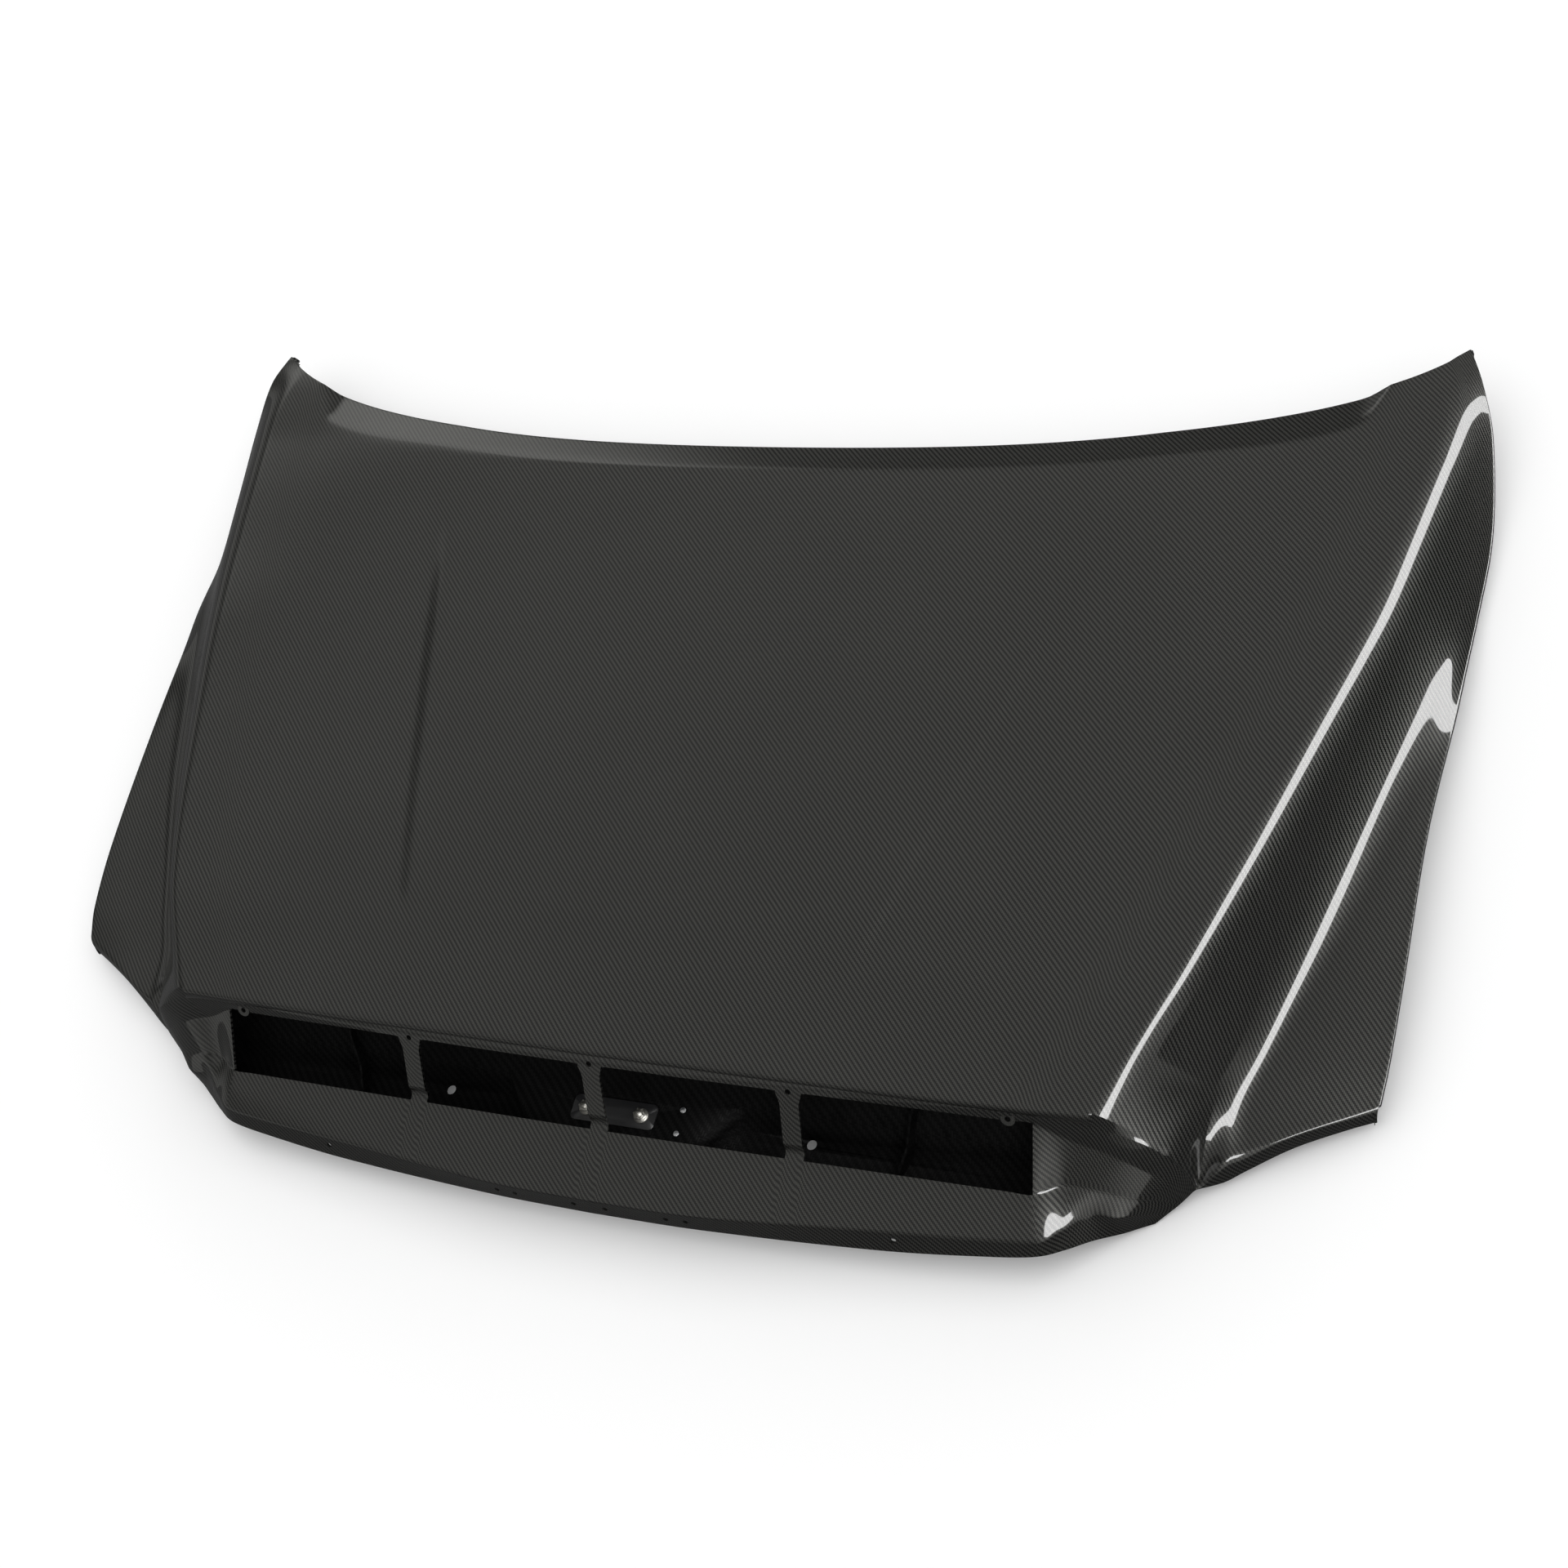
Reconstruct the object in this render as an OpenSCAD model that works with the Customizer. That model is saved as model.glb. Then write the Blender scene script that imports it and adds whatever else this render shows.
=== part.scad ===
// Pickup-truck bonnet in carbon fibre: a bonded shell with an open grille nose,
// an inner frame, hinge and latch reinforcements, a striker and a sprung safety catch.
// Millimetres. Everything is drawn in the bonnet's own frame (x across, y from nose to
// windscreen, z up) and then laid down by resting().

/* [Outline] */
// Distance from the centreline to the rear corner
corner_half = 812; // [790:1:830]
// Greatest distance from the centreline to the side edge
side_half = 854; // [845:1:870]
// Distance from the centreline to the front corner of the wing
wing_half = 827; // [815:1:838]
// Rear edge on the centreline, behind the nose datum
rear_centre = 800; // [780:1:830]
// How far the rear corners lie behind the rear edge's centre
rear_sweep = 146; // [120:1:160]
// Front edge of the nose lip on the centreline, in front of the datum
lip_reach = 152; // [140:1:165]

/* [Top panel] */
// Width from each ridge's front end to the wing's front corner
cheek_w = 257; // [245:1:265]
// Half width between the ridges three quarters of the way back
ridge_rear_half = 777; // [770:1:784]
// Height of the top panel's crown on the centreline
crown = 23; // [15:1:32]
// Rise of the raised centre field over the fields beside it
field_rise = 3.5; // [2:0.5:6]
// Width of the soft crease beside the centre field
crease_w = 24; // [16:1:40]
// Half width of the centre field at its front
field_front_half = 296; // [260:1:330]
// Half width of the centre field at its rear
field_rear_half = 455; // [420:1:480]
// Half width of the rounding over the main ridge
ridge_round = 22; // [16:1:26]
// Half width of the hollow where the flank runs out onto the wing
foot_round = 38; // [24:1:42]

/* [Edges] */
// Width of the turned-down band along the rear edge
band_w = 38; // [30:1:50]
// Drop of that band from its crease to the edge
band_drop = 9; // [5:0.5:14]
// Height of the side flange
side_flange = 16; // [12:0.5:18]
// Height of the rear flange
rear_flange = 13; // [9:0.5:18]

/* [Laminate] */
// Thickness of the outer skin and the nose panel
skin_t = 3; // [2:0.25:3.5]
// Thickness of the inner frame and the inner nose panel
frame_t = 2.5; // [2:0.25:3]
// Gap that the adhesive fills between the frame and the skin
bond_gap = 3; // [2.5:0.25:4]
// Open seam between the skin and the nose panel
seam_gap = 1; // [0.7:0.1:1.4]
// Clearance between pieces that lie against each other
lay_gap = 0.2; // [0.1:0.05:0.4]

/* [Grille openings] */
// Width of each grille bar
bar_w = 22; // [18:1:26]
// Spacing of the grille bars
bar_pitch = 239; // [230:1:245]
// How far the foot of each bar steps back behind the lip
bar_joggle = 4; // [2:0.5:7]
// Diameter of the round screw ears at the ends of the openings
ear_d = 16; // [13:0.5:20]
// Diameter of the grille screw holes
screw_d = 6.5; // [5:0.5:7]
// Diameter of the clip holes along the lip flange
clip_d = 6.5; // [5:0.5:8]

/* [Inner frame] */
// Underside of the frame's flat sheet, below the datum plane
frame_drop = 8; // [7:0.5:10]
// Width of the front beam
front_beam = 120; // [105:1:135]
// Width of the rear beam
rear_beam = 105; // [95:1:120]
// Width of the side rails
side_rail = 92; // [84:1:105]
// Width of each leg of the V-shaped brace
brace_w = 66; // [50:1:80]
// Corner radius of the frame's windows
window_r = 34; // [20:1:42]
// Width of the bonding flanges around the windows
bond_flange = 13; // [9:0.5:16]
// Diameter of the lightening holes in the front beam
lightening_d = 44; // [30:1:54]

/* [Inner nose] */
// Level of the nose floor, below the datum plane
floor_drop = 114; // [110:0.5:116]
// Rise of the latch pad over the nose floor's rear edge
pad_rise = 25; // [23:0.5:27]
// Diameter of the drain holes in the nose floor
drain_d = 12; // [8:0.5:16]
// Distance of the drain holes from the centreline
drain_x = 233; // [225:1:245]
// Distance of the floor ribs from the centreline
rib_x = 341; // [325:1:355]

/* [Hinges] */
// Distance of each hinge plate inside the main ridge
hinge_inset = 96.5; // [92:0.5:104]
// Centre of each hinge plate behind the datum
hinge_y = 795; // [785:1:800]
// Distance between the two bolts of a hinge
hinge_pitch = 64; // [50:1:76]
// Thickness of the steel reinforcement plates
plate_t = 3; // [2:0.25:4]
// Tapped diameter of the weld nuts
nut_bore_d = 6.8; // [6:0.1:8]
// Height of the weld nuts
nut_h = 6.5; // [5:0.5:8]
// Size of the weld nuts across flats
nut_af = 14; // [13:0.5:16]

/* [Latch] */
// Centre of the latch pad in front of the datum
latch_reach = 46; // [44:1:48]
// Diameter of the striker's rod
striker_d = 9; // [8:0.5:10]
// Distance between the striker's two legs
striker_span = 32; // [28:1:34]
// Drop of the striker's rod below its base
striker_drop = 31; // [28:1:33]
// Distance between the two striker bolts
striker_pitch = 70; // [64:1:74]
// Distance of the safety catch from the centreline
catch_x = 83; // [80:1:88]
// Diameter of the catch's pivot pin
pin_d = 8; // [6:0.5:8.5]
// Running clearance of the hook on its pin, on the diameter
pin_fit = 0.1; // [0.06:0.02:0.18]
// Wire diameter of the return spring
wire_d = 1.6; // [1.2:0.1:1.8]
// Coils of the return spring
coils = 4; // [3:1:4]

/* [Hidden] */

$fn = 48;
carbon = [0.13, 0.13, 0.13];
laminate = [0.08, 0.08, 0.085];
adhesive = [0.3, 0.3, 0.3];
steel = [0.62, 0.63, 0.65];
zinc = [0.75, 0.74, 0.68];

// ---- resting pose: the toes of the nose and the side edges stand on the floor ----
rest_tilt = 4.12;
toe_y = -68.5;
toe_z = -137;
rest_shift = -468.94;
rest_lift = 0.226;

module resting() {
    translate([0, rest_shift, rest_lift])
        rotate([-rest_tilt, 0, 0])
            translate([0, -toe_y, -toe_z])
                children();
}

// ---- small maths ----
function mix(a, b, t) = a * (1 - t) + b * t;
function clamp(t) = min(1, max(0, t));
function smooth(a, b, t) = let (u = clamp((t - a) / (b - a))) u * u * (3 - 2 * u);
function unit(v) = v / norm(v);
// a distance that turns softly from nothing to itself over the width w
function ramp(u, w) = (u + sqrt(u * u + w * w)) / 2;

// a smooth curve through rows of [key, values...]
function slope(p, i) = let (a = max(0, i - 1), b = min(len(p) - 1, i + 1))
    (p[b] - p[a]) / (p[b][0] - p[a][0]);
function span_at(p, t, i = 0) = i >= len(p) - 2 || t < p[i + 1][0] ? i : span_at(p, t, i + 1);
function along(p, t) =
    let (i = span_at(p, t), h = p[i + 1][0] - p[i][0], u = min(1.3, max(-0.6, (t - p[i][0]) / h)))
    p[i] * (2 * u * u * u - 3 * u * u + 1) + slope(p, i) * (h * (u * u * u - 2 * u * u + u))
    + p[i + 1] * (3 * u * u - 2 * u * u * u) + slope(p, i + 1) * (h * (u * u * u - u * u));

// a convex polygon with corners of the radius r, moved outward by g
function corner(p, i, r, g) =
    let (n = len(p), a = unit(p[(i + n - 1) % n] - p[i % n]), b = unit(p[(i + 1) % n] - p[i % n]),
         half = acos(a * b) / 2, c = p[i % n] + unit(a + b) * (r / sin(half)),
         mid = atan2(-(a + b)[1], -(a + b)[0]), turn = 180 - 2 * half)
    [for (k = [-2:2]) c + (r + g) * [cos(mid + k / 4 * turn), sin(mid + k / 4 * turn)]];
function rounded(p, r, g = 0) = [
    for (i = [0:len(p) - 1]) let (a = corner(p, i, r, g), b = corner(p, i + 1, r, g))
        each concat(a, [for (t = [0.2:0.2:0.85]) mix(a[4], b[0], t)])
];
// an outline moved outward by g
function grown(p, g) = [
    for (i = [0:len(p) - 1])
        let (n = len(p), a = unit(p[i] - p[(i + n - 1) % n]), b = unit(p[(i + 1) % n] - p[i]),
             m = unit(a + b))
        p[i] + g / max(0.5, m * a) * [m[1], -m[0]]
];

// ---- a thin solid over a grid of points, with gaps where keep is false ----
function grid_normal(P, i, j) =
    let (m = len(P) - 1, n = len(P[0]) - 1,
         du = P[min(m, i + 1)][j] - P[max(0, i - 1)][j],
         dv = P[i][min(n, j + 1)] - P[i][max(0, j - 1)])
    unit(cross(du, dv));
function inset(P, t) = [for (i = [0:len(P) - 1]) [for (j = [0:len(P[0]) - 1])
    P[i][j] - t * grid_normal(P, i, j)]];
function quad(p, q, r, s) = [[p, q, r], [p, r, s]];
module sheet(A, B, keep = function (i, j) true) {
    m = len(A);
    n = len(A[0]);
    on = function (i, j) i >= 0 && j >= 0 && i < m - 1 && j < n - 1 && keep(i, j);
    a = function (i, j) i * n + j;
    b = function (i, j) m * n + i * n + j;
    faces = [for (i = [0:m - 2]) for (j = [0:n - 2]) if (on(i, j)) each concat(
        quad(a(i, j), a(i, j + 1), a(i + 1, j + 1), a(i + 1, j)),
        quad(b(i, j), b(i + 1, j), b(i + 1, j + 1), b(i, j + 1)),
        on(i - 1, j) ? [] : quad(a(i, j), b(i, j), b(i, j + 1), a(i, j + 1)),
        on(i + 1, j) ? [] : quad(a(i + 1, j), a(i + 1, j + 1), b(i + 1, j + 1), b(i + 1, j)),
        on(i, j - 1) ? [] : quad(a(i, j), a(i + 1, j), b(i + 1, j), b(i, j)),
        on(i, j + 1) ? [] : quad(a(i, j + 1), b(i, j + 1), b(i + 1, j + 1), a(i + 1, j + 1)))];
    polyhedron([for (r = A) each r, for (r = B) each r], faces, convexity = 8);
}
// a closed band whose cross-section is walked through the given loops of points
module band_ring(loops) {
    k = len(loops);
    n = len(loops[0]);
    polyhedron([for (l = loops) each l],
        [for (a = [0:k - 1]) for (i = [0:n - 1]) let (b = (a + 1) % k, j = (i + 1) % n)
            each quad(a * n + i, b * n + i, b * n + j, a * n + j)], convexity = 8);
}
function mirror_x(p) = [-p[0], p[1], p[2]];
function mirrored(G) = concat([for (i = [len(G) - 1:-1:1]) [for (p = G[i]) mirror_x(p)]], G);

// ---- feature lines of the outer skin, right half: [y, x, z] ----
ridge_front_half = wing_half - cheek_w;
opening_end = ridge_front_half - 64;
ridge_line = [
    [-10, ridge_front_half - 4, 2], [143, ridge_front_half + 62, crown + 4],
    [433, mix(ridge_front_half, ridge_rear_half, 0.75), crown + 1],
    [647, ridge_rear_half, crown - 12], [800, ridge_rear_half + 26, 6],
    [860, corner_half - 4, 6], [900, corner_half - 11, 6], [945, corner_half - 30, 5]
];
edge_line = [
    [84, wing_half, -98], [120, wing_half + 4, -87], [205, wing_half + 7, -74],
    [376, wing_half + 9, -62], [536, side_half - 8, -67], [640, side_half - 4, -70],
    [740, side_half, -58], [850, side_half - 11, -24], [904, side_half - 27, 0],
    [945, corner_half - 2, 5]
];
wing_line = [
    [14, wing_half - 137, -98], [64, wing_half - 141, -92], [122, wing_half - 122, -85],
    [320, wing_half - 65, -70], [487, wing_half - 22, -62], [563, side_half - 28, -62],
    [650, side_half - 12, -67]
];
valley_line = [
    [-24, wing_half - 170, -119], [64, wing_half - 155, -112], [122, wing_half - 139, -101],
    [320, wing_half - 85, -80], [487, wing_half - 39, -69], [563, side_half - 44, -67],
    [650, side_half - 21, -66]
];
merge_y = 645;
function ridge(y) = along(ridge_line, y);
function edge(y) = along(edge_line, y);
function wing(y) = y < merge_y ? along(wing_line, y) : edge(y) + [0, -8, 3];
function valley(y) = y < merge_y ? along(valley_line, y) : edge(y) + [0, -17, 5];
function field_x(y) = mix(field_front_half, field_rear_half, (y - 147) / 560);
function rear_y(x) = let (q = x / corner_half)
    rear_centre + rear_sweep * (0.33 * q * q + 0.67 * pow(q, 4));

centre_line = [
    [-10, crown / 2], [200, crown], [400, crown], [600, crown - 4],
    [rear_centre - 42, crown - 7], [rear_centre + 20, crown - 9]
];
field_front = 128;
function panel_z(x, y) =
    let (r = ridge(y), grow = smooth(field_front - 32, field_front + 32, y) * (1 - smooth(480, 740, y)),
         inside = 1 - smooth(-crease_w / 2, crease_w / 2, x - field_x(y)))
    mix(along(centre_line, y)[1], r[2], pow(clamp(x / r[1]), 2)) + field_rise * grow * (inside - 0.5);
// depth of the turned-down band below the panel
function band_at(x) = (band_w + 15 * smooth(480, 700, x)) * (1 - smooth(700, 740, x));
function band_z(x, y) = let (w = band_at(x))
    w < 1 ? 0 : band_drop * w / band_w * ramp((y - rear_y(x)) / w + 1, 0.12);
// the lower of two levels with a rounding where they cross, and the higher of two
function soft_min(a, b, k) = min(a, b) - pow(max(k - abs(a - b), 0), 2) / (4 * k);
function soft_max(a, b, k) = -soft_min(-a, -b, k);
function on_wing(x, y, w, e) = let (t = clamp((x - w[1]) / (e[1] - w[1])))
    mix(w[2], e[2], t) + 3 * sin(180 * t) * (1 - smooth(560, 640, y));
// a straight flank that falls from the ridge to the point q and is rounded at the ridge
function flank_z(x, r, start, q, top) = let (slope = max(0.02, (r[2] - q[2]) / (q[1] - start)),
         crest = mix(0.55 * ridge_round, ridge_round, smooth(40, 350, r[0])))
    soft_min(top, r[2] - slope * (x - start), slope * crest);
// the side behind the nose: the flank runs out onto the wing, and at the rear into the edge
function side_z(x, y, top) =
    let (r = ridge(y), e = edge(y), w = wing(y), start = r[1] + mix(7, 2, smooth(200, 450, y)),
         foot = mix(18, foot_round, smooth(80, 350, y)), slope = (r[2] - w[2]) / (w[1] - start))
    y > 650 ? flank_z(x, r, start, e, top) : mix(
        soft_max(on_wing(x, y, w, e), flank_z(x, r, start, w, top), slope * foot),
        flank_z(x, r, start, e, top), smooth(540, 650, y));
// the side at the nose: a swelling cheek, a gutter beside it and the wing's front corner
function cheek_z(x, y, top) =
    let (r = ridge(y), v = valley(y), w = wing(y), soft = 8,
         t = ramp(x - r[1] - 0.8 * soft, soft) / (v[1] - r[1] - 0.8 * soft))
    x < v[1] ? top - (r[2] - v[2]) * t * (0.56 + 0.44 * pow(min(1, t), 12))
    : x < w[1] ? mix(v[2], w[2], smooth(0, 1, (x - v[1]) / (w[1] - v[1]))) : on_wing(x, y, w, edge(y));
function top_z(x, y) = let (top = panel_z(x, y) - band_z(x, y))
    x < ridge(y)[1] - 70 ? top : mix(cheek_z(x, y, top), side_z(x, y, top), smooth(-30, 60, y));

// ---- the skin's grid: columns across the half width, rows from nose to windscreen ----
// inside the opening's end a row is [share of the way there, y, z], and outside it
// [key, x, y, z] with both measured from the ridge's front end
nose_end = 87;
function nose_rows_of(inside, outside) = concat(
    [for (r = inside) [r[0] * opening_end, r[0] * opening_end, r[1], r[2]]],
    [for (r = outside) [r[0] + ridge_front_half, r[1] + ridge_front_half, r[2], r[3]]]);
parting = nose_rows_of([[0, -15.5, 4.5], [0.65, -13, 1]], [
    [-64, -62, -9.5, -5.5], [-10, -10, -8.5, -11], [30, 30, -11, -26], [64, 64, -15, -50],
    [80, 80, -20, -85], [nose_end, nose_end, -25, -119]
]);
wing_foot = nose_rows_of([], [
    [nose_end, nose_end, -25, -119], [113, 113, -11, -124], [132, 132, 2, -121],
    [177, 177, 32, -116], [227, 227, 59, -116], [cheek_w, cheek_w - 3, 72, -117]
]);
front_line = [for (r = [[0, -1], [30, -4], [60, -9], [nose_end, -18], [120, 12], [161, 29], [191, 45],
    [228, 66], [cheek_w, 84]]) [r[0] + ridge_front_half, r[1]]];
half_columns = [
    for (t = [0, 0.3, 0.6, 0.85]) [0, t],
    for (t = [0, 0.035, 0.07, 0.2, 0.45, 0.7, 0.86, 0.94, 0.98]) [1, t],
    for (t = [0, 0.05, 0.11, 0.18, 0.28, 0.4, 0.52, 0.64, 0.76, 0.88]) [2, t],
    for (t = [0, 0.33, 0.66]) [3, t], for (t = [0, 0.12, 0.4, 0.75, 1]) [4, t]
];
front_x = [0, 0.42 * ridge_front_half, ridge_front_half, ridge_front_half + nose_end, wing_half - 137,
    wing_half];
rear_x = [0, 490, corner_half - 30, corner_half - 17, corner_half - 8, corner_half];
function line_x(k, y) = k == 0 ? 0 : k == 1 ? field_x(y) - crease_w / 2 : k == 2 ? ridge(y)[1]
    : k == 3 ? valley(y)[1] : k == 4 ? wing(y)[1] : edge(y)[1];
function between(line, c) = mix(line[c[0]], line[c[0] + 1], c[1]);
function start_y(x) = x < ridge_front_half ? -4 + 3 * pow(x / ridge_front_half, 2) : along(front_line, x)[1];
function surface_point(c, s) =
    let (xr = between(rear_x, c), y0 = start_y(between(front_x, c)), y1 = rear_y(xr),
         yc = y1 - band_at(xr) - 5,
         y = s < 1 ? mix(y0, yc, s) : mix(yc, y1, s - 1),
         x = mix(line_x(c[0], y), line_x(c[0] + 1, y), c[1]))
    [x, y, top_z(x, y)];
// rows ahead of the surface: the foot on the parting line and the rounding above it
function front_rows(c) =
    let (xf = between(front_x, c), u = surface_point(c, 0),
         p = xf < front_x[3] ? along(parting, xf) : along(wing_foot, xf), f = [p[1], p[2], p[3]],
         k = c[0] < 2 ? [f[0], f[1], u[2] - 1] : c[0] == 2 ? mix(f, u, 0.5)
             : [mix(f[0], u[0], 0.3), mix(f[1], u[1], 0.3), u[2] - 1])
    [f, mix(f, k, 0.55), mix(mix(f, k, 0.75), mix(k, u, 0.5), 0.6)];
function rear_rows(c) = let (p = surface_point(c, 2)) [p + [0, 1.5, -3], p + [0, 0.5, -rear_flange]];
surface_rows = [0, 0.02, 0.06, 0.11, 0.17, 0.24, 0.32, 0.42, 0.53, 0.64, 0.75, 0.84, 0.92, 1,
    1.12, 1.3, 1.6, 2];
function skin_column(c) = concat(front_rows(c), [for (s = surface_rows) surface_point(c, s)], rear_rows(c));
// the side flange hangs from the last column and tucks in under it
function flange_column(p, dx, dz) = let (n = len(p) - 1) [for (i = [0:n])
    i < 3 ? p[i] + [0.5 * dx, 1, -1]
    : i > n - 2 ? p[i] + [dx, -1, 0]
    : p[i] + [dx, -max(0, i - n + 4) * 2, -dz * (i > n - 4 ? 0.85 : 1)]];
half_grid = let (e = skin_column([4, 1])) concat([for (c = half_columns) skin_column(c)],
    [flange_column(e, 1.5, 4), flange_column(e, -5, side_flange)]);
skin_face = mirrored(half_grid);
// along the seam both panels end in the same slanted plane: [x, direction into the bonnet]
seam_slant = concat([[0, 0, 0.88, -0.48]], [for (r = [[-64, 0, 0.88, -0.48], [-10, -0.25, 0.75, -0.6],
    [30, -0.5, 0.65, -0.58], [64, -0.61, 0.56, -0.56], [nose_end, -0.75, 0.5, -0.45]])
    r + [ridge_front_half, 0, 0, 0]]);
function seam_in(p) = let (v = along(seam_slant, abs(p[0])))
    p + skin_t * unit([(p[0] < 0 ? -1 : 1) * v[1], v[2], v[3]]);
skin_back = let (B = inset(skin_face, skin_t)) [for (i = [0:len(B) - 1]) [for (j = [0:len(B[0]) - 1])
    j == 0 && abs(skin_face[i][0][0]) < front_x[3] + 1 ? seam_in(skin_face[i][0]) : B[i][j]]];

// the skin is one moulding, held as four nodes: the panel, its rear band and the two sides
skin_mid = len(half_grid) - 1;
skin_last = len(half_grid[0]) - 1;
side_col = 10;
band_row = 16;
module skin_part(columns, rows) color(carbon) resting() sheet(
    [for (i = columns) [for (j = rows) skin_face[i][j]]], [for (i = columns) [for (j = rows) skin_back[i][j]]]);
module outer_skin() skin_part([skin_mid - side_col:skin_mid + side_col], [0:band_row]);
module skin_rear_band() skin_part([skin_mid - side_col:skin_mid + side_col], [band_row:skin_last]);
module skin_side_left() skin_part([0:skin_mid - side_col], [0:skin_last]);
module skin_side_right() skin_part([skin_mid + side_col:2 * skin_mid], [0:skin_last]);

// ---- nose panel: five lines from the parting line to the foot of the lip: [key, x, y, z] ----
nose_lines = [
    parting,
    nose_rows_of([[0, -24, -1], [0.26, -23, -2], [0.65, -19, -7], [0.95, -14.5, -15]], [
        [-64, -64, -13, -17], [-25, -25, -20, -35], [10, 20, -27, -48], [40, 52, -30, -70],
        [65, 70, -31, -92], [90, 80, -32, -122]]),
    nose_rows_of([[0, -76, -66], [0.26, -75.5, -66], [0.65, -74, -66.5], [0.95, -72.5, -67.5]], [
        [-64, -64, -72, -68], [-25, -38, -58, -72], [10, -4, -56, -75], [40, 34, -55, -90],
        [65, 52, -48, -104], [90, 71, -41, -127]]),
    nose_rows_of([[0, -lip_reach, -83], [0.26, 2 - lip_reach, -82], [0.65, 20 - lip_reach, -86],
        [0.93, 33 - lip_reach, -89]], [
        [-64, -55, 39 - lip_reach, -90], [-25, -32, -95, -90], [10, -9, -76, -90], [40, 18, -74, -97],
        [65, 34, -66, -104], [90, 60, -51, -131]]),
    nose_rows_of([[0, -lip_reach - 6, -110], [0.26, -lip_reach - 4, -110], [0.68, 8 - lip_reach, -111],
        [0.93, 21 - lip_reach, -108]], [
        [-64, -58, 28 - lip_reach, -107], [-25, -32, -111, -112], [10, -7, -95, -118],
        [40, 20, -79, -129], [65, 33, -71, -132], [90, 48, -62, -135.4]])
];
half_bar = bar_w / 2;
nose_keys = [
    0, for (t = [0:0.25:1]) mix(half_bar, bar_pitch - half_bar, t),
    for (t = [0:0.25:1]) mix(bar_pitch + half_bar, opening_end, t),
    for (d = [-52, -38, -25, -10, 5, 20, 35, 48, 60, 71, 81, 90]) ridge_front_half + d
];
// rows upward from the lip's foot: [band between two lines, share of the way down]
nose_rows = [
    [3, 1], [3, 0.5], [3, 0.05], [2, 0.97], [2, 0.86], [2, 0.5], [2, 0.1],
    [1, 1], [1, 0.95], [1, 0.88], [1, 0.8], [1, 0.5], [1, 0.2], [1, 0.08], [1, 0], [0, 0.5], [0, 0]
];
foot_row = 7;
head_row = 14;
function flare(key, r) = r[0] != 1 ? 0 : 4 * (1 - smooth(0, 0.2, r[1]))
    * (key == half_bar || key == bar_pitch + half_bar ? 1 : key == bar_pitch - half_bar ? -1 : 0);
// beyond the opening the nose's keys lag behind the parting line's
top_keys = concat([[0, 0], [opening_end - 80, opening_end - 80]], [for (r = [[-64, -64], [-25, -10], [10, 30],
    [40, 64], [65, 80], [90, nose_end]]) r + [ridge_front_half, ridge_front_half]]);
function nose_line(n, k) = along(nose_lines[n], n > 0 ? k : along(top_keys, k)[1]);
function nose_point(key, r) =
    let (k = key + flare(key, r), p = nose_line(r[0], k), q = nose_line(r[0] + 1, k),
         m = mix(p, q, r[1]),
         step = r[0] == 1 && key < opening_end
             ? bar_joggle * (smooth(0.78, 0.9, r[1]) - smooth(0.94, 1, r[1])) : 0,
         swell = r[0] == 2 && key < ridge_front_half + 20 ? 2.5 : r[0] == 0 ? 1.2 : 0,
         bulge = swell * sin(180 * r[1]))
    [m[1], m[2] + 0.78 * step, m[3] - 0.62 * step + bulge];
nose_grid = mirrored([for (k = nose_keys) [for (r = nose_rows) nose_point(k, r)]]);
nose_top_row = len(nose_rows) - 1;
function pulled(P, d) = [for (c = P) [for (j = [0:nose_top_row])
    j == nose_top_row ? c[j] + d * unit(c[j - 1] - c[j]) : c[j]]];
nose_face = pulled(nose_grid, seam_gap);
nose_back = let (B = inset(nose_face, skin_t)) [for (i = [0:len(B) - 1]) [for (j = [0:nose_top_row])
    j == nose_top_row ? seam_in(nose_face[i][j]) : B[i][j]]];
nose_mid = len(nose_keys) - 1;
function cell_key(i) = i >= nose_mid ? nose_keys[i - nose_mid] : nose_keys[nose_mid - 1 - i];
function kept_in_opening(key, j) =
    key < half_bar - 1 || key == bar_pitch - half_bar || key >= opening_end;
nose_kept = function (i, j) j < foot_row || j >= head_row || kept_in_opening(cell_key(i), j);

screw_holes = [
    [0, -20, -3], [bar_pitch, -18.5, -6.5], [-bar_pitch, -18.5, -6.5],
    [opening_end - 25, -13.5, -12], [25 - opening_end, -13.5, -12]
];
ear_holes = [screw_holes[3], screw_holes[4]];
ear_sink = 1.2;
screw_tilt = 52;
// [x, y, z, lean of the axis, its turn away from the middle]
clip_holes = [for (s = [-1, 1]) each [[s * 20, -155, -96, 78, s], [s * 96, -154.5, -96, 78, s * 5],
    [s * 120, -154, -96, 78, s * 6], [s * (opening_end - 147), -134, -98, 62, s * 6]]];

module nose_panel() color(carbon) resting() difference() {
    union() {
        sheet(nose_face, nose_back, nose_kept);
        for (p = ear_holes) translate(p) rotate([screw_tilt, 0, 0]) translate([0, 0, -skin_t / 2 - ear_sink])
            cylinder(d = ear_d, h = skin_t);
    }
    for (p = screw_holes) translate(p) rotate([screw_tilt, 0, 0])
        cylinder(d = screw_d, h = 24, center = true);
    for (p = clip_holes) translate([p[0], p[1], p[2]]) rotate([p[3], 0, p[4]])
        cylinder(d = clip_d, h = 16, center = true);
}

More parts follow.
